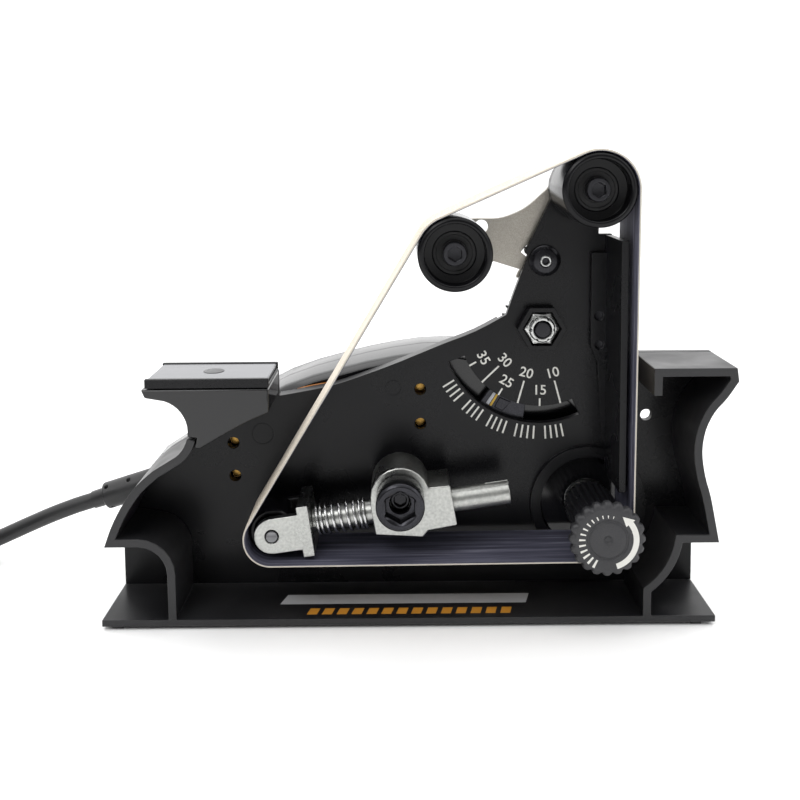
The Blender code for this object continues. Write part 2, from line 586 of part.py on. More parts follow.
def build_power_unit(bench):
    centre = (DRIVE_AXLE[0], 0, DRIVE_AXLE[1])
    front = power_shell("front_shell", [(SHELL_Y, 2.2), (37.2, 0.8), (39.5, 0.0), (SPLIT_Y, 0.0)],
                        (SHELL_Y + SHELL_WALL, SPLIT_Y + 1), bench)
    merge(front, turned("nose", disc(16.9, 29, 38.6), centre, None, bench, segments=40))
    drill(front, DRIVE_AXLE, 8.4, 20, 39.5, bench, 28)
    rear = power_shell("rear_shell", [(SPLIT_Y + GAP, 0.0), (66.0, 0.0), (70.0, 1.6), (SHELL_BACK_Y, 4.5)],
                       (SPLIT_Y - 1, SHELL_BACK_Y - SHELL_WALL), bench)
    drill(rear, DRIVE_AXLE, BARREL_R - SHELL_WALL - 1.5, 60, 80, bench, 36)

    trigger_hole = box("trigger_hole", (TRIGGER[0] - 1, 48.8, 48), (TRIGGER[1] + 1, 59.3, 60), None, bench)
    outlet = turned("outlet", disc(4.8, 2, 14), cord_point(0), None, bench, cord_direction(), 20)
    for shell in (front, rear):
        cut(shell, trigger_hole)
        cut(shell, outlet)
    drill(rear, LOCK_BUTTON, 4.4, 60, 80, bench)
    drill(rear, SPEED_DIAL, 2.5, 60, 80, bench)
    for number, point in enumerate(SHELL_SCREWS, 1):
        drill(rear, point, 1.9, 60, 80, bench, 16)
        screw(f"shell_screw_{number}", point, SHELL_BACK_Y + GAP, 58.0, bench)

    cover_profile = [(8.4, 110), (8.4, 101.5), (11, 101.5), (11, 107.3), (29.5, 107.3), (29.5, 72.3),
                     (BARREL_R, 72.3), (BARREL_R, 105.0), (29.0, 109.2), (26.0, 110)]
    cover = turned("motor_cover", cover_profile, centre, "satin_black", bench, segments=36)
    saddle = [(DRIVE_AXLE[0] - 18, 1.5), (DRIVE_AXLE[0] + 18, 1.5)] + arc(DRIVE_AXLE, 30.8, -56, -124, 8)
    merge(cover, prism("saddle", saddle, 84.0, 104.0, None, bench))
    for i in range(10):
        angle = math.tau * i / 10
        across = Vector((math.cos(angle), math.sin(angle)))
        side = Vector((-across.y, across.x)) * 1.6
        near, far = Vector(DRIVE_AXLE) + across * 14, Vector(DRIVE_AXLE) + across * 25
        slot = [tuple(near + side), tuple(far + side), tuple(far - side), tuple(near - side)]
        cut(cover, prism(f"vent_{i}", slot, 106.0, 112.0, None, bench))
    for side, x in (("left", -14.0), ("right", 6.0)):
        foot = [(DRIVE_AXLE[0] + x, 88.0), (DRIVE_AXLE[0] + x + 8, 88.0), (DRIVE_AXLE[0] + x + 8, 100.0),
                (DRIVE_AXLE[0] + x, 100.0)]
        prism(f"rear_foot_{side}", foot, 0.0, 1.2, "rubber", bench, "Z")

    box("trigger", (TRIGGER[0], 50, 46.0), (TRIGGER[1], 58.2, 61.0), "satin_black", bench)
    box("switch_body", (TRIGGER[0] - 4, 45, 66.0), (TRIGGER[1] + 4, 62, 78.0), "satin_black", bench)
    turned("lock_button", disc(4.0, 64, 74.5), (LOCK_BUTTON[0], 0, LOCK_BUTTON[1]), "rubber", bench,
           segments=24)
    dial = [(0, 66), (2.2, 66), (2.2, 72.3), (8.0, 72.3), (8.0, 75.4), (7.0, 76.4), (0, 76.4)]
    turned("speed_dial", dial, (SPEED_DIAL[0], 0, SPEED_DIAL[1]), "satin_black", bench, segments=24)
    stripe = smooth([(-50, 71), (-40, 75.7), (-30, 77.8), (-20, 78.8), (-8, 77.8), (5, 75.4), (20, 71)], 3)
    prism("accent_strip", ribbon(stripe, 2.6), 34.9, SHELL_Y - GAP, "yellow", bench)


# ---------------------------------------------------------------- belt, cord, fasteners

def build_belt(bench):
    inner, outer = belt_loop(BELT_GAP), belt_loop(BELT_GAP + BELT_THICKNESS)
    bm = bmesh.new()
    rings = [[bm.verts.new((x, y, z)) for x, z in loop]
             for loop, y in ((inner, 0.0), (outer, 0.0), (outer, BELT_WIDTH), (inner, BELT_WIDTH))]
    for low, high in zip(rings, rings[1:] + rings[:1]):
        for i in range(len(low)):
            bm.faces.new((low[i - 1], low[i], high[i], high[i - 1]))
    add_object("abrasive_belt", bm, "belt", bench)


def cord_tube(name, route, bench):
    """A tube of the cord's diameter along a smooth curve through the route's points."""
    points = smooth(route, 3)
    curve = bpy.data.curves.new(name, "CURVE")
    curve.dimensions = "3D"
    curve.bevel_depth = CORD_R * MM
    curve.bevel_resolution = 2
    curve.use_fill_caps = True
    spline = curve.splines.new("POLY")
    spline.points.add(len(points) - 1)
    for target, (x, y, z) in zip(spline.points, points):
        target.co = (x * MM, y * MM, z * MM, 1.0)
    obj = bpy.data.objects.new(name, curve)
    bpy.context.scene.collection.objects.link(obj)
    curve.materials.append(material(name, "rubber"))
    obj.parent = bench


def build_cord(bench):
    relief = [(0, 3), (4.4, 3), (4.4, 9.3), (5.7, 9.6), (5.7, 12.5), (5.2, 13.0), (4.2, 31.0), (0, 31.0)]
    turned("strain_relief", relief, cord_point(0), "rubber", bench, cord_direction(), 16)
    cord_tube("cord", LEAD_IN, bench)
    cord_tube("cord_tail", TAIL, bench)
    ring = tube(COIL_R - COIL_WIDTH / 2, COIL_R + COIL_WIDTH / 2, 0, COIL_HEIGHT)
    turned("cord_coil", ring, (COIL_CENTRE[0], COIL_CENTRE[1], 0.0), "rubber", bench, (0, 0, 1), 36)
    x, y, z = TAIL[-1]
    neck = turned("plug_body", [(0, 0.3), (4.4, 0.3), (5.4, 16), (0, 16)], (x, y, z), "rubber", bench,
                  (0, 1, 0), 24)
    merge(neck, box("plug_block", (x - 12, y + 14, 0.1), (x + 12, y + 36, 15.0), None, bench))
    for shift in (-6.35, 6.35):
        merge(neck, box("plug_blade", (x + shift - 0.75, y + 35.0, 4.4), (x + shift + 0.75, y + 53, 10.8), None,
                        bench))


def main():
    clear_scene()
    bench = empty("bench", (-CENTRE_X, -CENTRE_Y, 0.0))
    build_housing(bench)
    build_plate(bench)
    build_platen(bench)
    build_left_rest(bench)
    build_roller("top", TOP_AXLE, CARRIER_BACK_Y + GAP, bench)
    build_roller("left", LEFT_AXLE, CARRIER_BACK_Y + GAP, bench)
    build_angle_scale(bench)
    build_tension(bench)
    build_drive(bench)
    build_power_unit(bench)
    build_belt(bench)
    build_cord(bench)


main()
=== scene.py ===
"""Looks of the bench belt grinder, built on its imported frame.

Lengths here are millimetres in the frame's own axes: X to the right, Y from the belt back towards
the motor, Z up. Places come from the frame's boxes and joints.
"""

import json
import math

import bmesh
import bpy
import numpy as np
from mathutils import Matrix, Vector
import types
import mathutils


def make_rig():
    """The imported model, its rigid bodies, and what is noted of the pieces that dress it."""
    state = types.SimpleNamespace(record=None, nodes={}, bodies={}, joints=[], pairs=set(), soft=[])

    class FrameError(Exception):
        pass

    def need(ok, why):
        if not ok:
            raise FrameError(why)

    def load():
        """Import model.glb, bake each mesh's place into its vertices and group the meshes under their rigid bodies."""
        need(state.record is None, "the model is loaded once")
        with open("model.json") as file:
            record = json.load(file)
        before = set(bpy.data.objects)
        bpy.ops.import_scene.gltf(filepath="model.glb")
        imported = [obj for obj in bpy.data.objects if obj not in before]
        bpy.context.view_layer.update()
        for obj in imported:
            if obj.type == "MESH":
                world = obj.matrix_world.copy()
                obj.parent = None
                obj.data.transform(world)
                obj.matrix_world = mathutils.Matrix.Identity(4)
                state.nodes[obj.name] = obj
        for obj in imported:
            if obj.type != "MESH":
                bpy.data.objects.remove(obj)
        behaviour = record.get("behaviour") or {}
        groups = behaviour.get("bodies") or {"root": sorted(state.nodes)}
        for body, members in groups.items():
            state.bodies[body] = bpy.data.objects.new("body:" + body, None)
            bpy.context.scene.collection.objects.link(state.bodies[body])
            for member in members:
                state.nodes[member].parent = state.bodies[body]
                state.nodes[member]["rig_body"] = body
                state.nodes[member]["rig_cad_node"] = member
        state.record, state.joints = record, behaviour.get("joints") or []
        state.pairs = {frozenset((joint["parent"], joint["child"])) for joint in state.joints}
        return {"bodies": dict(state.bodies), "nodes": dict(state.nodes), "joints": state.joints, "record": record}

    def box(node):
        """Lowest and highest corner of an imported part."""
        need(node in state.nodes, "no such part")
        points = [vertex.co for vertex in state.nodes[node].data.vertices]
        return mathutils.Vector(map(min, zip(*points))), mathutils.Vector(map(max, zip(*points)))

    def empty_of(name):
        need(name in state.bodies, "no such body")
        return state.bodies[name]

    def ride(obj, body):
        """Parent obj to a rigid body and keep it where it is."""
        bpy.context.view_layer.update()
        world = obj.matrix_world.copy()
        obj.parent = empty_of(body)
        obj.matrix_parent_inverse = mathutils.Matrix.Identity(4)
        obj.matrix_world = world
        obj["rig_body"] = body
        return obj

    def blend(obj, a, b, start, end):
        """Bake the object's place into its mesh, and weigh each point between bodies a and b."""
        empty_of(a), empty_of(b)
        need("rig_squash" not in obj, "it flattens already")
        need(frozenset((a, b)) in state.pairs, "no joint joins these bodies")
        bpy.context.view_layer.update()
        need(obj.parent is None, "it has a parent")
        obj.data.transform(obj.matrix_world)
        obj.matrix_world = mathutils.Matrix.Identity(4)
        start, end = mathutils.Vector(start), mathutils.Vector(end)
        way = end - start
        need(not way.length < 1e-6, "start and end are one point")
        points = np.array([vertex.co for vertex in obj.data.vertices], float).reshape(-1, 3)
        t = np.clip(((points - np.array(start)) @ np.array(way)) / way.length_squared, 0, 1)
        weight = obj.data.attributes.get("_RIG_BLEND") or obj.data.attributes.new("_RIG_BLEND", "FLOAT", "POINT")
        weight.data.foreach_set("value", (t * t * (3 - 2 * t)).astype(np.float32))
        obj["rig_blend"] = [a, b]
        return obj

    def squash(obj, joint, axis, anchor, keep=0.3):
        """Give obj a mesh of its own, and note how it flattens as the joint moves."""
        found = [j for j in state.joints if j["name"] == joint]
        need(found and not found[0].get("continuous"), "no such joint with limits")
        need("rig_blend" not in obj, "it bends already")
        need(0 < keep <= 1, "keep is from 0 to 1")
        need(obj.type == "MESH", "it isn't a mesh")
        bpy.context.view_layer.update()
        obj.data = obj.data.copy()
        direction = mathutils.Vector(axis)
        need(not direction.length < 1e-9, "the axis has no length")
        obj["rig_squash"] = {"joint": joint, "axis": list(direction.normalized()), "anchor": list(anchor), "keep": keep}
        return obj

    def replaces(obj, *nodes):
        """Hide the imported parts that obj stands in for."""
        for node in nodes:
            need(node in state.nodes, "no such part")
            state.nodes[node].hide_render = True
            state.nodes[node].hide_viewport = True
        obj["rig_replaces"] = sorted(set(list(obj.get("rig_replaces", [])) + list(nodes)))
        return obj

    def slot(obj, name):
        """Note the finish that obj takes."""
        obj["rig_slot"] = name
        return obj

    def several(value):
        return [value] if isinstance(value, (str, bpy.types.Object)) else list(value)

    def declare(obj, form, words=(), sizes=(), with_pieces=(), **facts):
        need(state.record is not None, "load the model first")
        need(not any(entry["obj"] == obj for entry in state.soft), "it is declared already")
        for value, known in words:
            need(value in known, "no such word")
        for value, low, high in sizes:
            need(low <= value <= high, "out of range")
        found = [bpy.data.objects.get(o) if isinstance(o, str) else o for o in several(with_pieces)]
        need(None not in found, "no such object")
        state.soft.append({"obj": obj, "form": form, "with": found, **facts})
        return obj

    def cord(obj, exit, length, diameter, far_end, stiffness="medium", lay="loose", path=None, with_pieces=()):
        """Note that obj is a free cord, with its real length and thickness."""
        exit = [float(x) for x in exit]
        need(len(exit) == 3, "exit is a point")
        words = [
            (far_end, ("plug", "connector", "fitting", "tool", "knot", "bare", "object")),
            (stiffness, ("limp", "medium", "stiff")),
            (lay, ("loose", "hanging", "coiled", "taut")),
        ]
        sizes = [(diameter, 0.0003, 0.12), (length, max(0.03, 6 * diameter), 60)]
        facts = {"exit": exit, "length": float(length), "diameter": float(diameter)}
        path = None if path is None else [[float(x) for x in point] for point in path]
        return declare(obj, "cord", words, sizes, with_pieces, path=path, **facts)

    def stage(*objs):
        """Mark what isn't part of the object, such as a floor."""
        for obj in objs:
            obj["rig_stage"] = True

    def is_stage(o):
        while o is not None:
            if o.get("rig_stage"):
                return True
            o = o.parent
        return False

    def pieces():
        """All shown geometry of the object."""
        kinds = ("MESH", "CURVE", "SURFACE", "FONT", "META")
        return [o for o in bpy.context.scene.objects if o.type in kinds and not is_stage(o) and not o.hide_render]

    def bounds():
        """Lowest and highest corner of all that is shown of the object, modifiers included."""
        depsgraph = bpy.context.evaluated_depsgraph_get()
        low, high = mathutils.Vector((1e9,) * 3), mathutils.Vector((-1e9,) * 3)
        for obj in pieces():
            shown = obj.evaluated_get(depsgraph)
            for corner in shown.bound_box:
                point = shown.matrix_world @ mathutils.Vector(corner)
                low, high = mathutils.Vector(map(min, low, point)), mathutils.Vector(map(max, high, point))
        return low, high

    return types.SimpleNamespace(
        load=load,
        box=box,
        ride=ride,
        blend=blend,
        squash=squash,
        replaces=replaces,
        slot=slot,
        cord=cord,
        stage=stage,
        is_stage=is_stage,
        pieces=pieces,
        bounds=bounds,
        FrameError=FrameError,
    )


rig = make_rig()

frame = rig.load()
CAD_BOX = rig.bounds()

MM = 0.001
GAP = 0.3
PLATE_THICKNESS = 3.0
BELT_THICKNESS = 0.8
BELT_GAP = 0.25
BASE_TOP = 3.5


def box(node):
    low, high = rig.box(node)
    return np.array(low) / MM, np.array(high) / MM


def place(joint):
    found = next(j for j in frame["joints"] if j["name"] == joint)
    return np.array(found["pos_m"]) / MM


TOP, LEFT = place("top_roller_spin"), place("left_roller_spin")
ARM, DRIVE = place("tension_roller_spin"), place("drive_spin")
PIVOT, TRACKING = place("pointer_turn"), place("tracking_knob_turn")
FRONT = box("abrasive_belt")[0][1]
PLATE_FACE = box("tilt_carrier")[0][1] - GAP - PLATE_THICKNESS
ARM_LINE = np.array(next(j for j in frame["joints"] if j["name"] == "tension_slide")["axis"])


# ---------------------------------------------------------------- camera

def make_camera():
    """A 40 mm lens in front of the belt, level with its top run and tipped 5 degrees down."""
    data = bpy.data.cameras.new("camera")
    data.sensor_width, data.lens = 36.0, 40.0
    data.shift_y = -0.209
    camera = bpy.data.objects.new("camera", data)
    bpy.context.scene.collection.objects.link(camera)
    camera.matrix_world = (Matrix.Translation((-0.00493, -0.33854, 0.160))
                           @ Matrix.Rotation(math.radians(85.0), 4, "X")
                           @ Matrix.Rotation(math.radians(CAMERA_ROLL), 4, "Z"))
    bpy.context.scene.camera = camera


CAMERA_ROLL = -0.49


# ---------------------------------------------------------------- meshes

def new_object(name, mesh, body, finishes, replaces=(), slot=None):
    obj = bpy.data.objects.new(name, mesh)
    bpy.context.scene.collection.objects.link(obj)
    for finish in finishes:
        mesh.materials.append(finish)
    if body:
        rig.ride(obj, body)
    if replaces:
        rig.replaces(obj, *replaces)
    if slot:
        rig.slot(obj, slot)
    return obj


def mesh_of(name, points, faces, sharp=40.0, face_slots=None, uv=None):
    """A mesh from points in millimetres; faces turn outwards if the volume they close is negative."""
    mesh = bpy.data.meshes.new(name)
    mesh.from_pydata((np.asarray(points, float) * MM).tolist(), [], [list(map(int, f)) for f in faces])
    if face_slots is not None:
        mesh.polygons.foreach_set("material_index", np.asarray(face_slots, np.int32))
    if uv is not None:
        layer = mesh.uv_layers.new(name="along")
        loops = np.zeros(len(mesh.loops), np.int32)
        mesh.loops.foreach_get("vertex_index", loops)
        layer.data.foreach_set("uv", (np.asarray(uv, float)[loops] * MM).ravel())
    bm = bmesh.new()
    bm.from_mesh(mesh)
    bmesh.ops.remove_doubles(bm, verts=bm.verts, dist=1e-7)
    if bm.calc_volume(signed=True) < 0:
        bmesh.ops.reverse_faces(bm, faces=bm.faces)
    bm.to_mesh(mesh)
    bm.free()
    mesh.shade_smooth()
    mesh.set_sharp_from_angle(angle=math.radians(sharp))
    return mesh


def grid_faces(rows, columns, loop_rows=False):
    """Quads of a grid whose columns go round; its rows may go round too."""
    i, j = np.meshgrid(np.arange(rows if loop_rows else rows - 1), np.arange(columns), indexing="ij")
    i, j = i.ravel(), j.ravel()
    up, side = (i + 1) % rows, (j + 1) % columns
    return np.stack([i * columns + j, i * columns + side, up * columns + side, up * columns + j], axis=1)


def soften(profile, radius=0.3, steps=4, closed=False):
    """The profile with each corner cut back by the radius and replaced by a parabola's arc."""
    points = np.asarray(profile, float)
    count = len(points)
    t = np.linspace(0.0, 1.0, steps)[:, None]
    out = []
    for i, corner in enumerate(points):
        if not closed and i in (0, count - 1):
            out.append(corner[None])
            continue
        before, after = points[i - 1] - corner, points[(i + 1) % count] - corner
        near, far = np.linalg.norm(before), np.linalg.norm(after)
        reach = min(radius, 0.45 * near, 0.45 * far)
        a, b = corner + before / near * reach, corner + after / far * reach
        out.append((1 - t) ** 2 * a + 2 * t * (1 - t) * corner + t ** 2 * b)
    return np.concatenate(out)


def hexagon(angle):
    """Radius factor of a hexagon whose flats are at distance 1."""
    return 1.0 / np.cos((angle + math.pi / 6) % (math.pi / 3) - math.pi / 6)


def hexagon_turned(angle):
    return hexagon(angle + math.pi / 6)


def fluted(count, depth, narrow=1.0):
    """Radius factor with count hollows, each a cosine dip of the given depth raised to a power."""
    return lambda angle: 1.0 - depth * (0.5 - 0.5 * np.cos(count * angle)) ** narrow


def turned(profile, origin, direction=(0, 1, 0), segments=96, form=None, closed=False):
    """Points and faces of a profile carried round the direction through the origin.

    A profile point is (radius, distance along, share of the form): the radius is multiplied by
    1 + share (form(angle) - 1), so one profile can pass from round to hexagonal or fluted.
    """
    profile = np.asarray(profile, float)
    angle = np.linspace(0.0, math.tau, segments, endpoint=False)
    along = np.asarray(direction, float) / np.linalg.norm(direction)
    turn = np.array(Vector(along).to_track_quat("Z", "Y").to_matrix())
    factor = np.zeros(segments) if form is None else form(angle) - 1.0
    radius = profile[None, :, 0] * (1.0 + factor[:, None] * profile[None, :, 2])
    local = np.stack([radius * np.cos(angle)[:, None], radius * np.sin(angle)[:, None],
                      np.broadcast_to(profile[None, :, 1], radius.shape)], axis=2)
    points = local.reshape(-1, 3) @ turn.T + np.asarray(origin, float)
    faces = grid_faces(len(profile), segments, loop_rows=closed)
    i, j = faces // segments, faces % segments
    return points, j * len(profile) + i


def turned_piece(name, profile, origin, body, finish, direction=(0, 1, 0), radius=0.3, closed=False,
                 form=None, segments=96, **options):
    rows = soften([(*row, 0.0)[:3] for row in profile], radius, closed=closed)
    points, faces = turned(rows, origin, direction, segments, form, closed)
    return new_object(name, mesh_of(name, points, faces), body, [finish], **options)


def swept(path, section):
    """Points and faces of section, an (m, 2) loop, carried along path, an (n, 3) line.

    Each ring stands square to the path: its first axis is the horizontal normal, its second completes
    the frame. The ends are closed by flat faces.
    """
    path, section = np.asarray(path, float), np.asarray(section, float)
    ahead = np.gradient(path, axis=0)
    ahead /= np.linalg.norm(ahead, axis=1)[:, None]
    side = np.cross(ahead, (0.0, 1.0, 0.0))
    side /= np.linalg.norm(side, axis=1)[:, None]
    other = np.cross(side, ahead)
    points = path[:, None] + section[None, :, :1] * side[:, None] + section[None, :, 1:] * other[:, None]
    count = len(section)
    faces = grid_faces(len(path), count).tolist()
    faces += [list(range(count)), list(range(len(path) * count - 1, (len(path) - 1) * count - 1, -1))]
    return points.reshape(-1, 3), faces


def slab(outline, low, high, radius=0.2):
    """Points and faces of an (n, 2) outline in X and Z, between two y levels, with rounded rims.

    A ring at share t of the rim is the outline drawn in by radius (1 - sin t) and set back by
    radius (1 - cos t), so the rim is a quarter circle.
    """
    outline = np.asarray(outline, float)
    ahead = np.roll(outline, -1, axis=0) - outline
    ahead /= np.linalg.norm(ahead, axis=1)[:, None]
    normal = np.stack([-ahead[:, 1], ahead[:, 0]], axis=1)
    mitre = normal + np.roll(normal, 1, axis=0)
    mitre /= (mitre * normal).sum(axis=1)[:, None]
    area = np.sum(outline[:, 0] * np.roll(outline[:, 1], -1) - np.roll(outline[:, 0], -1) * outline[:, 1])
    inward = mitre * np.sign(area)
    turn = np.linspace(0.0, math.pi / 2, 4)
    insets = radius * (1 - np.sin(turn))
    levels = np.concatenate([low + radius * (1 - np.cos(turn)), high - radius * (1 - np.cos(turn))[::-1]])
    insets = np.concatenate([insets, insets[::-1]])
    rings = [np.column_stack([outline[:, 0] + inward[:, 0] * inset, np.full(len(outline), level),
                              outline[:, 1] + inward[:, 1] * inset]) for inset, level in zip(insets, levels)]
    count = len(outline)
    faces = grid_faces(len(rings), count).tolist()
    faces += [list(range(count)), list(range(len(rings) * count - 1, (len(rings) - 1) * count - 1, -1))]
    return np.concatenate(rings), faces


def joined(parts):
    """Several (points, faces) pairs as one."""
    points, faces, start = [], [], 0
    for some_points, some_faces in parts:
        points.append(np.asarray(some_points))
        faces += [[int(v) + start for v in face] for face in some_faces]
        start += len(some_points)
    return np.concatenate(points), faces


def arc(centre, radius, start, end, steps=24):
    """(x, z) points on a circle, angles in degrees from +X towards +Z."""
    angle = np.radians(np.linspace(start, end, steps + 1))
    return np.column_stack([centre[0] + radius * np.cos(angle), centre[-1] + radius * np.sin(angle)])


# ---------------------------------------------------------------- finishes

def linear(colour):
    """Linear RGBA of an sRGB colour written as hex."""
    values = np.array([int(colour[i:i + 2], 16) for i in (1, 3, 5)]) / 255.0
    values = np.where(values <= 0.04045, values / 12.92, ((values + 0.055) / 1.055) ** 2.4)
    return (*values.tolist(), 1.0)


def add(tree, kind, inputs=None, stops=None, **settings):
    """Adds a shader node with its settings, its values or links by socket, and a ramp's stops."""
    node = tree.nodes.new("ShaderNode" + kind)
    for name, value in settings.items():
        setattr(node, name, value)
    for name, value in (inputs or {}).items():
        if isinstance(value, bpy.types.NodeSocket):
            tree.links.new(value, node.inputs[name])
        else:
            node.inputs[name].default_value = value
    if stops:
        while len(node.color_ramp.elements) < len(stops):
            node.color_ramp.elements.new(0.5)
        for element, (position, colour) in zip(node.color_ramp.elements, stops):
            element.position, element.color = position, linear(colour)
    return node


def start_finish(name, roughness, metallic=0.0, **sockets):
    """A material with a Principled shader whose constants sit on its own sockets."""
    finish = bpy.data.materials.new(name)
    finish.use_nodes = True
    tree = finish.node_tree
    shader = tree.nodes["Principled BSDF"]
    shader.inputs["Roughness"].default_value = roughness
    shader.inputs["Metallic"].default_value = metallic
    for socket, value in sockets.items():
        shader.inputs[socket.replace("_", " ")].default_value = value
    where = add(tree, "TexCoord").outputs["Object"]
    return finish, tree, shader, where


def grained(name, dark, light, roughness, grain, bump, metallic=0.0, spread=0.12, patch=18.0, **sockets):
    """A finish whose colour drifts between two tones in patches, with a fine grain in bump and gloss.

    grain and patch are millimetres; bump is the grain's height in millimetres.
    """
    finish, tree, shader, where = start_finish(name, roughness, metallic, **sockets)
    fine = add(tree, "TexNoise", {"Vector": where, "Scale": 1000.0 / grain, "Detail": 3.0}).outputs["Fac"]
    broad = add(tree, "TexNoise", {"Vector": where, "Scale": 1000.0 / patch, "Detail": 4.0}).outputs["Fac"]
    both = add(tree, "Math", {0: broad, 1: fine}, operation="ADD").outputs[0]
    half = add(tree, "Math", {0: both, 1: 0.5}, operation="MULTIPLY").outputs[0]
    tone = add(tree, "ValToRGB", {"Fac": half}, stops=[(0.36, dark), (0.64, light)])
    tree.links.new(tone.outputs["Color"], shader.inputs["Base Color"])
    gloss = add(tree, "MapRange", {"Value": broad, "From Min": 0.3, "From Max": 0.7,
                                   "To Min": roughness - spread, "To Max": roughness + spread})
    tree.links.new(gloss.outputs["Result"], shader.inputs["Roughness"])
    relief = add(tree, "Bump", {"Height": fine, "Distance": bump * MM, "Strength": 0.6})
    tree.links.new(relief.outputs["Normal"], shader.inputs["Normal"])
    return finish


def brushed(name, dark, light, roughness, along, line=0.25, metallic=1.0):
    """Ground or drawn metal: noise squeezed across one axis, so its lines run along the other."""
    finish, tree, shader, where = start_finish(name, roughness, metallic)
    stretch = [1000.0 / line] * 3
    stretch[along] = 1000.0 / (line * 60.0)
    lines = add(tree, "Mapping", {"Vector": where, "Scale": stretch}).outputs["Vector"]
    grain = add(tree, "TexNoise", {"Vector": lines, "Scale": 1.0, "Detail": 2.0}).outputs["Fac"]
    tone = add(tree, "ValToRGB", {"Fac": grain}, stops=[(0.3, dark), (0.7, light)])
    tree.links.new(tone.outputs["Color"], shader.inputs["Base Color"])
    gloss = add(tree, "MapRange", {"Value": grain, "To Min": roughness - 0.06, "To Max": roughness + 0.10})
    tree.links.new(gloss.outputs["Result"], shader.inputs["Roughness"])
    relief = add(tree, "Bump", {"Height": grain, "Distance": 0.00002, "Strength": 0.4})
    tree.links.new(relief.outputs["Normal"], shader.inputs["Normal"])
    return finish


def plain(name, colour, roughness, metallic=0.0, mottle=0.06, **sockets):
    """A print, paint or small trim: one colour with a faint mottle in tone and gloss."""
    finish, tree, shader, where = start_finish(name, roughness, metallic, **sockets)
    cloud = add(tree, "TexNoise", {"Vector": where, "Scale": 400.0, "Detail": 3.0}).outputs["Fac"]
    value = add(tree, "MapRange", {"Value": cloud, "To Min": 1.0 - mottle, "To Max": 1.0 + mottle})
    tone = add(tree, "HueSaturation", {"Color": linear(colour), "Value": value.outputs["Result"]})
    tree.links.new(tone.outputs["Color"], shader.inputs["Base Color"])
    gloss = add(tree, "MapRange", {"Value": cloud, "To Min": roughness - mottle, "To Max": roughness + mottle})
    tree.links.new(gloss.outputs["Result"], shader.inputs["Roughness"])
    return finish


# Spark-eroded ABS: a fine sandy skin, grey where light skims it
TEXTURED_ABS = grained("spark_eroded_abs", "#161618", "#212123", 0.40, 0.45, 0.015, Specular_IOR_Level=0.45)
# Satin ABS: smooth, with soft cloudy gloss left by the tool's polish
SATIN_ABS = grained("satin_abs", "#0e0e10", "#161618", 0.29, 0.35, 0.004, spread=0.06, patch=30.0,
                   Specular_IOR_Level=0.2)
# High gloss ABS: nearly black, broad clear reflections
GLOSS_ABS = grained("gloss_abs", "#0a0a0c", "#111113", 0.16, 0.6, 0.002, spread=0.06, patch=40.0)
# Glass filled nylon of the knobs: mid grey black with a dull dry surface
NYLON = grained("glass_filled_nylon", "#232325", "#303033", 0.50, 0.4, 0.012)
# Black anodised aluminium of the rollers: deep black with sharp highlights on turned edges
ANODISED = grained("black_anodised_aluminium", "#070708", "#0e0e11", 0.20, 0.3, 0.002, spread=0.05,
                    Specular_IOR_Level=0.2)
# Black oxide on steel screws: blue black, half gloss
BLACK_OXIDE = grained("black_oxide_steel", "#1c1c1f", "#2c2c30", 0.30, 0.3, 0.004, metallic=0.6)
# Black nickel over turned steel: dark, clear highlights
BLACK_NICKEL = grained("black_nickel_plate", "#2a2a2d", "#3a3a3e", 0.24, 0.5, 0.003, metallic=0.9, spread=0.05)
# Zinc die casting: pale grey with a tumbled, slightly pebbled skin
ZINC = grained("zinc_die_casting", "#9c9d9a", "#bcbdb9", 0.34, 0.9, 0.008, metallic=1.0)
# Bright zinc plate on turned steel: silver, faint drawn lines
PLATED = brushed("zinc_plated_steel", "#9fa09e", "#d2d3d1", 0.26, 0)
# Bead blasted steel sheet: even, warm grey and matt
BLASTED = grained("bead_blasted_steel", "#8f8b83", "#b3aea5", 0.42, 0.3, 0.01, metallic=0.85)
# Ground and polished steel: clear reflections with fine lines along X
POLISHED = brushed("polished_steel", "#626367", "#7a7b7f", 0.18, 0)
# Spring wire, nickel bright
WIRE = brushed("nickel_plated_wire", "#a9aaaa", "#dfdfde", 0.2, 1)
BRASS = brushed("turned_brass", "#8a6a34", "#b89350", 0.34, 1)
COPPER = brushed("commutator_copper", "#9c5a35", "#c98256", 0.3, 1)
LAMINATION = brushed("laminated_steel", "#5a5a5c", "#8a8a8c", 0.42, 0)
# Soft PVC of the lead: matt black with a slight sheen
PVC = grained("soft_pvc", "#161617", "#212122", 0.42, 0.4, 0.006)
RUBBER = grained("moulded_rubber", "#141415", "#1d1d1e", 0.7, 0.5, 0.01)
WHITE_PRINT = plain("white_pad_print", "#d9d8d2", 0.55)
ORANGE_PRINT = plain("orange_pad_print", "#c98a2e", 0.5)
SILVER_PRINT = plain("silver_pad_print", "#b9bbbf", 0.45)
YELLOW_PRINT = plain("yellow_index_print", "#c9a233", 0.5)
AMBER_TRIM = plain("amber_trim", "#a5641c", 0.35)


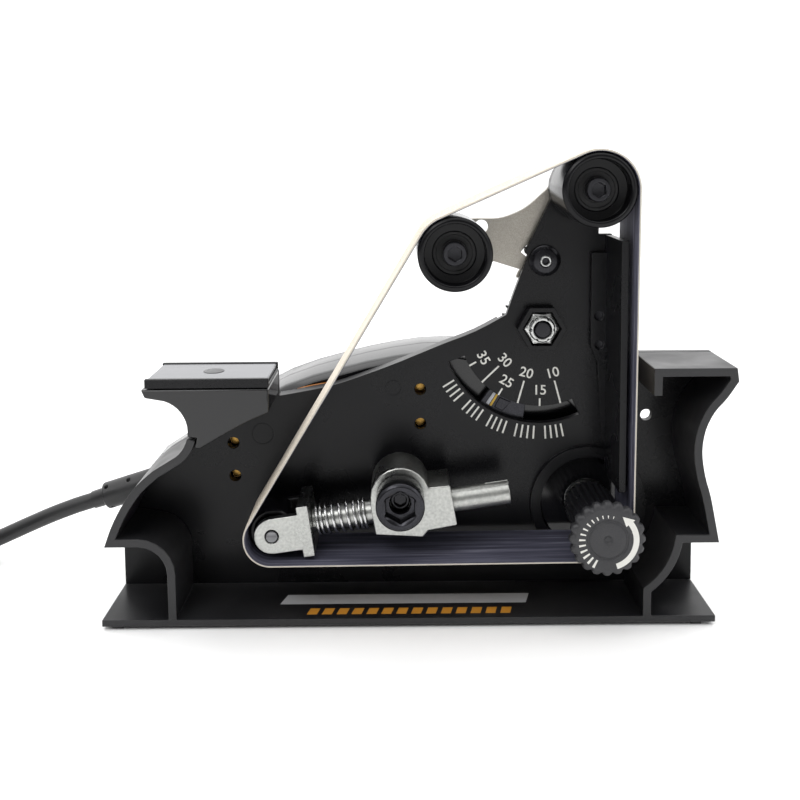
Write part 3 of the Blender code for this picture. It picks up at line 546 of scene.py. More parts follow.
def abrasive_finish():
    """Resin-bonded grit on cloth: pale beige grains about 0.15 mm, drawn as 0.5 mm clusters."""
    finish, tree, shader, _ = start_finish("resin_bonded_grit", 0.85)
    where = add(tree, "UVMap", uv_map="along").outputs["UV"]
    grit = add(tree, "TexVoronoi", {"Vector": where, "Scale": 1000.0 / 0.5}, feature="F1").outputs["Distance"]
    worn = add(tree, "TexNoise", {"Vector": where, "Scale": 1000.0 / 35.0, "Detail": 5.0}).outputs["Fac"]
    both = add(tree, "Math", {0: grit, 1: worn}, operation="MULTIPLY").outputs[0]
    tone = add(tree, "ValToRGB", {"Fac": both},
               stops=[(0.05, "#cdc2b3"), (0.22, "#ddd4c6"), (0.45, "#b8ac9b")])
    tree.links.new(tone.outputs["Color"], shader.inputs["Base Color"])
    relief = add(tree, "Bump", {"Height": grit, "Distance": 0.0001, "Strength": 0.7})
    tree.links.new(relief.outputs["Normal"], shader.inputs["Normal"])
    return finish


def cloth_finish():
    """Blue grey backing cloth: a twill weave 0.6 mm apart under long pale scuffs from the wheels."""
    finish, tree, shader, _ = start_finish("backing_cloth", 0.62)
    where = add(tree, "UVMap", uv_map="along").outputs["UV"]
    slant = add(tree, "Mapping", {"Vector": where, "Rotation": (0.0, 0.0, math.radians(45.0)),
                                  "Scale": (1000.0, 1000.0, 1000.0)}).outputs["Vector"]
    weave = add(tree, "TexWave", {"Vector": slant, "Scale": 0.5, "Distortion": 0.6}).outputs["Fac"]
    long = add(tree, "Mapping", {"Vector": where, "Scale": (1000.0 / 60.0, 1000.0 / 2.0, 1.0)}).outputs["Vector"]
    scuff = add(tree, "TexNoise", {"Vector": long, "Scale": 1.0, "Detail": 6.0, "Roughness": 0.65})
    tone = add(tree, "ValToRGB", {"Fac": scuff.outputs["Fac"]},
               stops=[(0.28, "#2b2b38"), (0.46, "#3d3d4b"), (0.58, "#575766"), (0.74, "#8b8b98")])
    tree.links.new(tone.outputs["Color"], shader.inputs["Base Color"])
    relief = add(tree, "Bump", {"Height": weave, "Distance": 0.00006, "Strength": 0.5})
    tree.links.new(relief.outputs["Normal"], shader.inputs["Normal"])
    return finish


GRIT, CLOTH = abrasive_finish(), cloth_finish()
BELT_EDGE = plain("cut_cloth_edge", "#b9b3a8", 0.8)


# ---------------------------------------------------------------- cord

CORD_D = 6.2
CORD_SLOPE = math.radians(17.4)
SLEEVE_LENGTH = 28.0
COIL_TURN, COIL_STEP, COIL_LAYER = 36.0, 6.4, 6.25


def catmull(points, steps=6):
    """A Catmull-Rom curve: each span is the cubic whose end slopes are half the chord past its ends."""
    ends = np.concatenate([points[:1], points, points[-1:]])
    p, q, r, s = ends[:-3, None], ends[1:-2, None], ends[2:-1, None], ends[3:, None]
    t = (np.arange(steps) / steps)[None, :, None]
    spans = 0.5 * (2 * q + (r - p) * t + (2 * p - 5 * q + 4 * r - s) * t ** 2 + (3 * q - p - 3 * r + s) * t ** 3)
    return np.concatenate([spans.reshape(-1, 3), points[-1:]])


def coil_points(centre):
    """Three layers of a round coil, wound in, out and once round on top.

    Angle runs on; radius and height are piecewise steps, each eased over an eighth to a quarter turn.
    """
    inner, middle, outer = COIL_TURN - COIL_STEP, COIL_TURN, COIL_TURN + COIL_STEP
    low = CORD_D / 2 + 0.05
    stops = [(100, outer, 0), (360, outer, 0), (450, middle, 0), (720, middle, 0), (810, inner, 0),
             (1020, inner, 0), (1080, inner, 1), (1280, inner, 1), (1370, middle, 1), (1640, middle, 1),
             (1730, outer, 1), (1930, outer, 1), (1990, outer, 2), (2240, outer, 2)]
    angles, radii, layers = (np.array(column, float) for column in zip(*stops))
    turn = np.arange(angles[0], angles[-1], 15.0)
    span = np.clip(np.searchsorted(angles, turn, side="right") - 1, 0, len(angles) - 2)
    t = (turn - angles[span]) / (angles[span + 1] - angles[span])
    ease = t * t * (3 - 2 * t)
    radius = radii[span] + (radii[span + 1] - radii[span]) * ease
    height = low + COIL_LAYER * (layers[span] + (layers[span + 1] - layers[span]) * ease)
    turn = np.radians(turn)
    return np.column_stack([centre[0] + radius * np.cos(turn), centre[1] + radius * np.sin(turn), height])


def lead_start():
    """Where the lead leaves its sleeve."""
    return np.array([-126.43, 1.65, 25.63])


def make_cord():
    """The lead from the strain relief down to the bench, round its coil and out to the plug."""
    low, high = box("cord_coil")
    centre = (low + high) / 2
    lead_in = np.array([lead_start(), (-134.03, 1.7, 23.2), (-143.03, 1.8, 19.8), (-152.03, 2.0, 15.9),
                        (-160.53, 2.4, 12.0), (-168.53, 2.9, 8.4), (-176.03, 3.6, 5.6), (-182.53, 4.3, 4.0),
                        (-188.03, 5.0, 3.4)])
    to_coil = np.array([(-205.0, 5.7, 3.2)])
    off_coil = np.array([(-212.4, 7.5, 15.7)])
    tail = np.array([(-224.23, 12.0, 15.7), (-230.93, 16.4, 14.3), (-236.03, 22.4, 11.8),
                     (-239.33, 29.8, 8.6), (-241.03, 38.0, 6.3), (-241.43, 46.0, 5.6)])
    route = catmull(np.concatenate([lead_in, to_coil, coil_points(centre), off_coil, tail])) * MM
    curve = bpy.data.curves.new("lead", "CURVE")
    curve.dimensions = "3D"
    curve.bevel_depth = CORD_D / 2 * MM
    curve.bevel_resolution = 4
    curve.use_fill_caps = True
    spline = curve.splines.new("POLY")
    spline.points.add(len(route) - 1)
    spline.points.foreach_set("co", np.column_stack([route, np.ones(len(route))]).ravel())
    spline.use_smooth = True
    curve.materials.append(PVC)
    lead = bpy.data.objects.new("lead", curve)
    bpy.context.scene.collection.objects.link(lead)
    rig.ride(lead, "bench_unit")
    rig.replaces(lead, "cord", "cord_coil", "cord_tail")
    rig.slot(lead, "rubber")
    plug = make_plug(tail[-1])
    relief = make_strain_relief(lead_in[0])
    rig.cord(lead, exit=tuple(lead_in[0] * MM), length=LEAD_LENGTH, diameter=CORD_D * MM, far_end="plug",
            stiffness="medium", lay="coiled", with_pieces=plug + [relief])


LEAD_LENGTH = 1.541


def make_plug(end):
    """Moulded plug: a ribbed neck, a block with rounded rims and two flat blades."""
    x, y, z = end
    low, high = box("plug_body")
    ribs = [(0.0, 0.0), (3.9, 0.0)]
    for step in range(5):
        ribs += [(4.3 + 0.15 * step, 1.0 + 2.6 * step), (4.3 + 0.15 * step, 2.2 + 2.6 * step),
                 (3.6 + 0.2 * step, 2.4 + 2.6 * step), (3.6 + 0.2 * step, 3.4 + 2.6 * step)]
    ribs += [(5.2, 14.5), (0.0, 14.5)]
    neck = turned_piece("plug_neck", ribs, (x, y + 0.3, z), "bench_unit", PVC, slot="rubber")
    across, deep = 12.0, 7.0
    bend = np.radians(np.arange(0, 360, 10))
    outline = np.column_stack([x + across * np.sign(np.cos(bend)) * np.abs(np.cos(bend)) ** 0.35,
                               7.6 + deep * np.sign(np.sin(bend)) * np.abs(np.sin(bend)) ** 0.5])
    points, faces = slab(outline, y + 14.2, y + 35.8, 1.6)
    block = new_object("plug_block", mesh_of("plug_block", points, faces), "bench_unit", [PVC],
                       replaces=["plug_body"], slot="rubber")
    blades = []
    for side, shift in (("left", -6.35), ("right", 6.35)):
        blade = [(x + shift - 0.75, 4.4), (x + shift + 0.75, 4.4), (x + shift + 0.75, 10.8), (x + shift - 0.75, 10.8)]
        points, faces = slab(blade, y + 35.0, high[1] - 0.1, 0.3)
        blades.append(new_object(f"plug_blade_{side}", mesh_of(f"plug_blade_{side}", points, faces),
                                 "bench_unit", [BRASS]))
    return [neck, block] + blades


def make_strain_relief(exit_point):
    """A smooth sleeve with rings of four small dents, then a thin lip along the cord.

    A dent draws the wall in by 1.3 exp(-(distance / 0.75)^4), with the distance measured on the
    unrolled sleeve.
    """
    back = np.array([math.cos(CORD_SLOPE), 0.0, math.sin(CORD_SLOPE)])
    mouth = exit_point + back * SLEEVE_LENGTH
    shoulder = SLEEVE_LENGTH - 5.4
    wall = [(5.2, along) for along in np.arange(0.5, shoulder - 0.6, 0.25)]
    rows = soften([(0.0, 0.1), (4.8, 0.1)] + wall + [(5.15, shoulder - 0.4), (4.7, shoulder), (3.55, shoulder + 0.1),
                                                     (3.4, SLEEVE_LENGTH - 0.1), (0.0, SLEEVE_LENGTH - 0.1)], 0.05)
    rows = np.column_stack([rows, np.zeros(len(rows))])
    segments = 160
    points, faces = turned(rows, (0, 0, 0), (0, 0, 1), segments)
    angle = np.arctan2(points[:, 1], points[:, 0])
    radius = np.hypot(points[:, 0], points[:, 1])
    draw = np.zeros(len(points))
    for ring in (shoulder - 2.0, shoulder - 11.2):
        for bearing in np.radians((55.0, 125.0, 235.0, 305.0)):
            round_way = (angle - bearing + math.pi) % math.tau - math.pi
            distance = np.hypot(5.2 * round_way, points[:, 2] - ring)
            draw += 1.3 * np.exp(-(distance / 0.75) ** 4)
    scale = np.where(radius > 5.0, (radius - draw) / np.maximum(radius, 1.0), 1.0)
    side, up = np.array([0.0, 1.0, 0.0]), np.array([-back[2], 0.0, back[0]])
    placed = (mouth + (points[:, :1] * scale[:, None]) * side + (points[:, 1:2] * scale[:, None]) * up
              - points[:, 2:] * back)
    return new_object("strain_relief_sleeve", mesh_of("strain_relief_sleeve", placed, faces), "bench_unit", [PVC],
                      replaces=["strain_relief"], slot="rubber")


# ---------------------------------------------------------------- belt

def half_width(node):
    low, high = box(node)
    return (high[0] - low[0]) / 2


def belt_runs():
    """The belt's centre line as arcs and tangents, clockwise from the top wheel's left side.

    Between two wheels of radius a and b the tangent leans from their centre line by the angle whose
    sine is (a - b) / distance. Returns points, outward normals and the distance along the belt.
    """
    middle = BELT_GAP + BELT_THICKNESS / 2
    wheels = [(TOP, half_width("top_roller")), (DRIVE, half_width("drive_pulley")),
              (ARM, half_width("tension_roller")), (LEFT, half_width("left_roller"))]
    centres = np.array([(p[0], p[2]) for p, _ in wheels])
    radii = np.array([r + middle for _, r in wheels])
    run = np.roll(centres, -1, axis=0) - centres
    lean = np.arcsin((radii - np.roll(radii, -1)) / np.linalg.norm(run, axis=1))
    normals = np.arctan2(run[:, 1], run[:, 0]) + math.pi / 2 - lean
    points, facing = [], []
    for i in range(4):
        start = normals[i - 1]
        angle = start - np.linspace(0.0, (start - normals[i]) % math.tau, 40)
        ray = np.column_stack([np.cos(angle), np.sin(angle)])
        wrap = centres[i] + radii[i] * ray
        leave = wrap[-1]
        out = np.array([math.cos(normals[i]), math.sin(normals[i])])
        reach = centres[(i + 1) % 4] + radii[(i + 1) % 4] * out
        t = np.linspace(0.0, 1.0, 42)[1:-1, None]
        points += [wrap, leave + (reach - leave) * t]
        facing += [ray, np.broadcast_to(out, (40, 2))]
    points, facing = np.concatenate(points), np.concatenate(facing)
    gone = np.concatenate([[0.0], np.cumsum(np.linalg.norm(np.diff(points, axis=0), axis=1))])
    return points, facing, gone


def belt_piece(name, start, end, points, facing, gone):
    """A stretch of belt: its section, a thin strip with rounded edges, carried along the runs."""
    pick = np.arange(start, end) % len(points)
    spine, out = points[pick], facing[pick]
    along = np.concatenate([[0.0], np.cumsum(np.linalg.norm(np.diff(spine, axis=0), axis=1))]) + gone[pick[0]]
    half = BELT_THICKNESS / 2
    width = box("abrasive_belt")[1][1] - FRONT
    across = np.array([0.0, 0.12, 0.5, 6, 12.7, 19, width - 0.5, width - 0.12, width])
    rim = np.array([0.45, 0.85, 1, 1, 1, 1, 1, 0.85, 0.45]) * half
    section = np.concatenate([np.column_stack([across, rim]), np.column_stack([across[::-1], -rim[::-1]])])
    rings = np.empty((len(spine), len(section), 3))
    rings[..., 0] = spine[:, :1] + out[:, :1] * section[None, :, 1]
    rings[..., 1] = FRONT + section[None, :, 0]
    rings[..., 2] = spine[:, 1:] + out[:, 1:] * section[None, :, 1]
    uv = np.stack([np.broadcast_to(along[:, None], rings.shape[:2]),
                   np.broadcast_to(section[None, :, 0], rings.shape[:2])], axis=2).reshape(-1, 2)
    count = len(section)
    faces = grid_faces(len(spine), count)
    column = faces[:, 0] % count
    top = len(across) - 1
    slots = np.where(column < top, 0, np.where(column == top, 2, np.where(column < count - 1, 1, 2)))
    slots[(column == 0) | (column == top - 1)] = 2
    ends = [list(range(count)), list(range(len(spine) * count - 1, (len(spine) - 1) * count - 1, -1))]
    mesh = mesh_of(name, rings.reshape(-1, 3), faces.tolist() + ends, 35.0, slots.tolist() + [2, 2], uv)
    return new_object(name, mesh, None, [GRIT, CLOTH, BELT_EDGE], slot="abrasive_cloth")


def make_belt():
    """Four stretches, so that each bends only where its own joint pulls it.

    The stretch over the top wheel turns with the carrier as far as the left wheel; the slanting run
    is three quarters the carrier's and one quarter the tension arm's; the rest follows the arm.
    """
    points, facing, gone = belt_runs()
    span = 80
    total = 4 * span
    diagonal = 2 * span + 40
    middle = diagonal + 10
    left_wrap = 3 * span
    seam = span - 12
    top = belt_piece("belt_over_top", left_wrap, total + seam, points, facing, gone)
    upper = belt_piece("belt_slant_upper", middle, left_wrap + 1, points, facing, gone)
    lower = belt_piece("belt_slant_lower", diagonal - 1, middle + 1, points, facing, gone)
    bottom = belt_piece("belt_along_base", seam - 1, diagonal, points, facing, gone)
    at = lambda index: tuple(MM * v for v in (points[index % total][0], FRONT, points[index % total][1]))
    wide = half_width("top_roller") * MM
    x, z = TOP[0] * MM, TOP[2] * MM
    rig.blend(top, "bench_unit", "carrier", start=(x + wide, 0, z), end=(x - wide * 0.42, 0, z))
    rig.blend(upper, "bench_unit", "carrier", start=at(middle), end=at(left_wrap))
    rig.blend(lower, "bench_unit", "spring_seat", start=at(middle), end=at(diagonal))
    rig.blend(bottom, "bench_unit", "spring_seat", start=(DRIVE[0] * MM, 0, 0), end=(ARM[0] * MM, 0, 0))
    for piece in (top, upper, lower, bottom):
        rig.replaces(piece, "abrasive_belt")


# ---------------------------------------------------------------- wheels, screws and knobs

def at(node):
    """Centre of a node in X and Z with its lowest and highest y."""
    low, high = box(node)
    return (low[0] + high[0]) / 2, (low[2] + high[2]) / 2, low[1], high[1]


def make_roller(name, node, body):
    """A deep-dished wheel: thin lips, a floor 6 mm in, and a seat for a bearing from either side."""
    x, z, front, back = at(node)
    r = half_width(node)
    half = [(10.1, 0.5), (10.5, 0.0), (11.3, 0.0), (r, 0.8)]
    inside = [(7.2, 6.0), (7.2, 11.2), (6.2, 11.3), (6.2, 16.5), (7.2, 16.6), (7.2, 21.8)]
    depth = back - front
    profile = half + [(a, depth - b) for a, b in half[::-1]] + [(10.1, 21.8)] + inside[::-1] + [(10.1, 6.0)]
    turned_piece(name, profile, (x, front, z), body, ANODISED, radius=0.35, closed=True, segments=160,
                 replaces=[node], slot="gloss_black_moulding")


def make_bearing(node, body, finish):
    """A ball bearing seen from its side: two races with a shield set in between them."""
    x, z, front, back = at(node)
    outer = half_width(node)
    depth = back - front
    side = [(3.1, 0.0), (4.3, 0.0), (4.5, 0.4), (outer - 1.1, 0.4), (outer - 0.9, 0.0), (outer, 0.0)]
    turned_piece(node + "_races", side + [(a, depth - b) for a, b in side[::-1]], (x, front, z), body,
                 finish, radius=0.15, closed=True, replaces=[node], slot="bright_steel")


def make_cap_screw(node, body, head, head_depth, key, dome=0.0, finish=None, slot="black_steel", shank=3.0,
                   flip=False):
    """A socket screw: rounded head, hexagonal socket 60% as deep as the head, plain shank.

    dome is how far the head's rim stands back from its middle.
    """
    x, z, front, back = at(node)
    depth = 0.6 * head_depth
    profile = [(0.0, depth), (0.0, depth), (key, depth, 1.0), (key, 0.25, 1.0), (key + 0.35, 0.0),
               (0.55 * (head + key), 0.25 * dome), (head - 0.35, dome), (head, dome + 0.4),
               (head, head_depth), (shank, head_depth), (shank, back - front - 0.4),
               (shank - 0.4, back - front), (0.0, back - front)]
    origin, way = ((x, back, z), (0, -1, 0)) if flip else ((x, front, z), (0, 1, 0))
    turned_piece(node + "_turned", profile[1:], origin, body, finish or BLACK_OXIDE, direction=way,
                 radius=0.25, form=hexagon, replaces=[node], slot=slot)


def make_nut(node, body):
    """A hexagon nut with both ends chamfered round and a countersunk bore."""
    x, z, front, back = at(node)
    flat = half_width(node)
    depth = back - front
    side = [(3.1, 0.5, 0.0), (3.6, 0.0, 0.0), (flat, 0.0, 0.0), (flat, 0.45, 1.0)]
    profile = side + [(a, depth - b, c) for a, b, c in side[::-1]]
    turned_piece(node + "_hex", profile, (x, front, z), body, PLATED, radius=0.15, form=hexagon,
                 closed=True, replaces=[node], slot="steel_plate")


def make_guide_eyelet():
    """The bright rolled eyelet in the middle of the guide screw."""
    x, z, front, _ = at("guide_screw")
    turned_piece("guide_eyelet", [(1.15, 0.9), (1.15, 0.1), (1.4, -0.25), (1.85, -0.25), (2.05, 0.1), (2.05, 0.9)],
                 (x, front, z), "bench_unit", PLATED, radius=0.2, closed=True, slot="bright_steel")


def make_lock_nut():
    """A nut with a crimped crown in the hexagonal boss, and its bolt's thread inside it."""
    x, z, front, back = at("lock_nut")
    flat = half_width("lock_nut") * math.cos(math.pi / 6)
    turned_piece("lock_nut_hex", [(3.15, 1.6, 0), (flat * 0.9, 1.6, 0), (flat, 2.1, 1), (flat, 4.6, 1),
                                  (flat * 0.9, 5.1, 0), (3.15, 5.1, 0)], (x, front, z), "bench_unit", PLATED,
                 radius=0.2, form=hexagon_turned, closed=True, replaces=["lock_nut"], slot="bright_steel")
    turned_piece("lock_nut_crown", [(3.15, 0.2, 0), (3.5, 0.0, 0), (4.1, 0.0, 1), (4.6, 0.5, 1), (4.8, 1.9, 0),
                                    (3.15, 1.9, 0)], (x, front, z), "bench_unit", PLATED, radius=0.2,
                 form=lambda angle: 1.0 - 0.10 * np.clip(4.0 * np.cos(6.0 * angle) - 2.6, 0.0, 1.0),
                 segments=192, closed=True, slot="bright_steel")
    x, z, front, back = at("lock_bolt")
    thread = [(2.95 - 0.3 * (step % 2), 0.4 + 0.4 * step) for step in range(24)]
    turned_piece("lock_bolt_threaded", [(0.0, 0.0), (2.5, 0.0)] + thread + [(2.95, 10.2), (2.95, back - front),
                 (0.0, back - front)], (x, front, z), "tilt_lock", BLACK_OXIDE, radius=0.08,
                 replaces=["lock_bolt"], slot="black_steel")


def make_clamp_knob():
    """The drive's clamp knob: 20 flutes, a groove round its middle and a centre dimple."""
    x, z, front, back = at("clamp_knob")
    rim = 1.0
    profile = [(0.0, 0.7), (0.9, 0.7), (1.6, 0.0), (5.9, 0.0), (6.2, 0.35), (6.7, 0.35), (7.0, 0.0), (10.5, 0.0),
               (11.8, 0.35, rim), (12.6, 1.1, rim), (12.6, 3.0, rim), (11.9, 3.7, rim), (9.5, 3.9), (3.0, 3.9),
               (2.0, 4.2), (2.0, back - front - 0.3), (1.7, back - front), (0.0, back - front)]
    turned_piece("clamp_knob_fluted", profile, (x, front, z), "drive_clamp", NYLON, radius=0.35,
                 form=fluted(20, 0.075, 2.2), segments=320, replaces=["clamp_knob"], slot="satin_black_moulding")
    bars = []
    for step in range(14):
        bearing = math.radians(78.0 + step * 12.6)
        ray, side = np.array([math.cos(bearing), math.sin(bearing)]), np.array([-math.sin(bearing), math.cos(bearing)])
        inner, outer, wide = 7.5, 8.3 + 0.16 * step, 0.16 + 0.022 * step
        centre = np.array([x, z])
        bars.append(slab([centre + ray * inner - side * wide * 0.7, centre + ray * outer - side * wide,
                          centre + ray * outer + side * wide, centre + ray * inner + side * wide * 0.7],
                         front - 0.04, front + 0.04, 0.02))
    band = np.concatenate([arc((x, z), 10.2, -72, 38), arc((x, z), 11.0, 38, 38.5, 1), arc((x, z), 9.2, 60, 60, 1)[:1],
                           arc((x, z), 7.4, 38.5, 38, 1), arc((x, z), 8.3, 38, -72)])
    bars.append(slab(band, front - 0.04, front + 0.04, 0.02))
    points, faces = joined(bars)
    new_object("clamp_knob_marks", mesh_of("clamp_knob_marks", points, faces), "drive_clamp", [WHITE_PRINT])


def make_tracking_knob():
    """The belt tracking knob: a round knob with a hexagonal pocket and a hex socket screw deep inside."""
    x, z, front, back = at("tracking_knob")
    r, depth = half_width("tracking_knob"), back - front
    profile = [(3.6, 4.6), (3.7, 4.4), (4.75, 4.3, 1.0), (4.75, 0.7, 1.0), (5.9, 0.0), (7.2, 0.0), (r, 0.8),
               (r, depth - 0.8), (7.3, depth), (3.6, depth)]
    turned_piece("tracking_knob_turned", profile, (x, front, z), "tracking_adjuster", BLACK_NICKEL, radius=0.25,
                 form=hexagon, closed=True, segments=144, replaces=["tracking_knob"], slot="satin_black_moulding")
    x, z, front, back = at("tracking_screw")
    profile = [(0.0, 1.6), (2.0, 1.6, 1.0), (2.0, 0.2, 1.0), (2.3, 0.0), (3.0, 0.0), (3.4, 0.4), (3.4, 2.4),
               (2.5, 2.5), (2.5, back - front - 0.3), (2.2, back - front), (0.0, back - front)]
    turned_piece("tracking_screw_turned", profile, (x, front, z), "tracking_adjuster", BLACK_OXIDE, radius=0.2,
                 form=hexagon, replaces=["tracking_screw"], slot="bright_steel")


def make_drive():
    """The drive pulley under the belt, with fine splines."""
    x, z, front, back = at("drive_pulley")
    r, depth = half_width("drive_pulley"), back - front
    profile = [(3.05, 0.3), (3.4, 0.0), (r - 1.3, 0.0), (r, 0.7, 1.0), (r, depth - 0.7, 1.0), (r - 1.0, depth),
               (3.4, depth), (3.05, depth - 0.3)]
    turned_piece("drive_pulley_splined", profile, (x, front, z), "drive", BLACK_OXIDE, radius=0.25,
                 form=fluted(24, 0.07), closed=True, segments=288, replaces=["drive_pulley"], slot="black_steel")


def make_tension_roller():
    """The small wheel in the fork: crowned 0.3 mm, hollowed at both sides, round a steel bush."""
    x, z, front, back = at("tension_roller")
    r, width = half_width("tension_roller"), back - front
    across = np.linspace(0.6, width - 0.6, 9)
    crown = [(r - 0.3 * (2 * t / width - 1) ** 2, t) for t in across]
    profile = [(2.1, 0.9), (3.4, 0.3), (3.6, 1.4), (6.1, 1.4), (6.4, 0.1), (r - 0.7, 0.0)] + crown + [
        (r - 0.7, width), (6.4, width - 0.1), (6.1, width - 1.4), (3.6, width - 1.4), (3.4, width - 0.3),
        (2.1, width - 0.9)]
    turned_piece("tension_roller_crowned", profile, (x, front, z), "tension_wheel", ANODISED, radius=0.2,
                 closed=True, segments=128, replaces=["tension_roller"], slot="gloss_black_moulding")


def make_spring():
    """The arm's compression spring: a helix whose pitch closes up over its last turn at each end.

    Distance along is eased by a cosine at both ends, and the wire is a circle swept along the helix.
    """
    low, high = box("tension_spring")
    block_end, fork_end, coils, wire, radius = -12.9, 0.0, 9.0, 0.55, 5.0
    length = 18.8
    t = np.linspace(0.0, 1.0, 540)
    eased = t - 0.055 * np.sin(math.tau * t)
    axis = ARM_LINE / np.linalg.norm(ARM_LINE)
    side = np.array([0.0, 1.0, 0.0])
    other = np.cross(axis, side)
    start = np.array(ARM) + axis * 14.0
    start[1] = (low[1] + high[1]) / 2
    angle = math.tau * coils * t
    spine = (start + axis * (wire + (length - 2 * wire) * eased)[:, None]
             + radius * (np.cos(angle)[:, None] * side + np.sin(angle)[:, None] * other))
    ahead = np.gradient(spine, axis=0)
    ahead /= np.linalg.norm(ahead, axis=1)[:, None]
    out = np.cos(angle)[:, None] * side + np.sin(angle)[:, None] * other
    across = np.cross(ahead, out)
    round_angle = np.linspace(0.0, math.tau, 12, endpoint=False)
    rings = (spine[:, None] + wire * (np.cos(round_angle)[None, :, None] * out[:, None]
                                      + np.sin(round_angle)[None, :, None] * across[:, None]))
    faces = grid_faces(len(t), 12).tolist() + [list(range(12)), list(range(len(t) * 12 - 1, len(t) * 12 - 13, -1))]
    spring = new_object("tension_spring_coiled", mesh_of("tension_spring_coiled", rings.reshape(-1, 3), faces),
                        "bench_unit", [WIRE], replaces=["tension_spring"], slot="bright_steel")
    anchor = start + axis * length
    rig.squash(spring, "tension_slide", axis=tuple(axis), anchor=tuple(anchor * MM), keep=0.468)


def make_handle_end():
    """The handle's closed end and the boss that holds the sleeve.

    Each ring of the filler is a half disc of the radius given for its y, flat side outwards.
    """
    ahead, up = np.array([0.919, 0.0, 0.394]), np.array([-0.394, 0.0, 0.919])
    tip = np.array([-96.53, 0.0, 35.0])
    turn = np.radians(np.linspace(-90, 90, 25))
    rings = []
    for y, radius in ((-16.2, 6.5), (-15.1, 7.9), (-13.0, 8.7), (13.4, 8.7), (17.3, 7.1), (19.1, 4.2)):
        inwards, upwards = 0.4 + (radius - 0.4) * np.cos(turn), radius * np.sin(turn)
        rings.append(tip + (0.0, y, 0.0) + inwards[:, None] * ahead + upwards[:, None] * up)
    count, last = len(turn), len(rings) * len(turn)
    faces = grid_faces(len(rings), count).tolist()
    faces += [list(range(count)), list(range(last - 1, last - count - 1, -1))]
    new_object("handle_end_filler", mesh_of("handle_end_filler", np.concatenate(rings), faces), "bench_unit",
               [GLOSS_ABS], slot="gloss_black_moulding")
    mouth = lead_start() + SLEEVE_LENGTH * np.array([math.cos(CORD_SLOPE), 0.0, math.sin(CORD_SLOPE)])
    turned_piece("handle_end_boss", [(0.0, -1.6), (5.9, -1.6), (6.6, -0.9), (7.2, 4.6), (0.0, 4.6)], mouth,
                 "bench_unit", SATIN_ABS, direction=ahead, slot="satin_black_moulding")


def make_speed_dial():
    x, z, front, back = at("speed_dial")
    r, depth = half_width("speed_dial"), back - front
    profile = [(0.0, 0.4), (4.6, 0.3), (5.4, 0.0), (r - 0.9, 0.3), (r, 1.1, 1.0), (r, depth - 2.4, 1.0),
               (r - 0.5, depth - 2.2), (r - 0.5, depth), (0.0, depth)]
    turned_piece("speed_dial_fluted", profile, (x, back, z), "dial", NYLON, direction=(0, -1, 0), radius=0.3,
                 form=fluted(24, 0.06), segments=288, replaces=["speed_dial"], slot="satin_black_moulding")


# ---------------------------------------------------------------- bevelled copies of the frame's nodes

def body_of_node(node):
    bodies = frame["record"]["behaviour"]["bodies"]
    return next(body for body, nodes in bodies.items() if node in nodes)


SLIVERS = (((98.40, 31.64), (98.37, 31.80)), ((-101.84, 31.22), (-101.64, 31.80)))


def mend_housing(bm):
    """Draws in two slivers where the inner walls meet their floors, then fills both sides again."""
    for (x, z), (to_x, to_z) in SLIVERS:
        for vert in bm.verts:
            if abs(vert.co.x / MM - x) < 0.03 and abs(vert.co.z / MM - z) < 0.03:
                vert.co.x, vert.co.z = to_x * MM, to_z * MM
    bmesh.ops.remove_doubles(bm, verts=bm.verts, dist=4e-5)
    for level in (-49.5, -24.5):
        flat = [face for face in bm.faces if abs(face.normal.y) > 0.99
                and all(abs(vert.co.y / MM - level) < 0.02 for vert in face.verts)]
        bmesh.ops.delete(bm, geom=flat, context="FACES_ONLY")
        rim = [edge for edge in bm.edges if len(edge.link_faces) == 1]
        bmesh.ops.triangle_fill(bm, edges=rim, use_beauty=True)
    bmesh.ops.delete(bm, geom=[edge for edge in bm.edges if not edge.link_faces], context="EDGES")
    bmesh.ops.recalc_face_normals(bm, faces=bm.faces)


def bevelled(node, finish, width, slot, segments=2):
    """A merged copy of a node with its edges rounded by the width."""
    mesh = frame["nodes"][node].data.copy()
    mesh.name = node + "_finished"
    bm = bmesh.new()
    bm.from_mesh(mesh)
    bmesh.ops.remove_doubles(bm, verts=bm.verts, dist=4e-5)
    if node == "bench_housing":
        mend_housing(bm)
    bmesh.ops.dissolve_degenerate(bm, edges=bm.edges, dist=2e-5)
    bmesh.ops.dissolve_limit(bm, angle_limit=math.radians(0.4), verts=bm.verts, edges=bm.edges)
    bm.to_mesh(mesh)
    bm.free()
    mesh.materials.clear()
    for layer in list(mesh.uv_layers):
        mesh.uv_layers.remove(layer)
    if "custom_normal" in mesh.attributes:
        mesh.attributes.remove(mesh.attributes["custom_normal"])
    mesh.shade_smooth()
    mesh.set_sharp_from_angle(angle=math.radians(32.0))
    obj = new_object(node + "_finished", mesh, body_of_node(node), [finish], [node], slot)
    bevel = obj.modifiers.new("rounded edges", "BEVEL")
    bevel.width, bevel.segments, bevel.limit_method = width * MM, segments, "ANGLE"
    bevel.angle_limit, bevel.use_clamp_overlap = math.radians(32.0), False
    weigh = obj.modifiers.new("flat faces stay flat", "WEIGHTED_NORMAL")
    weigh.keep_sharp = True
    return obj


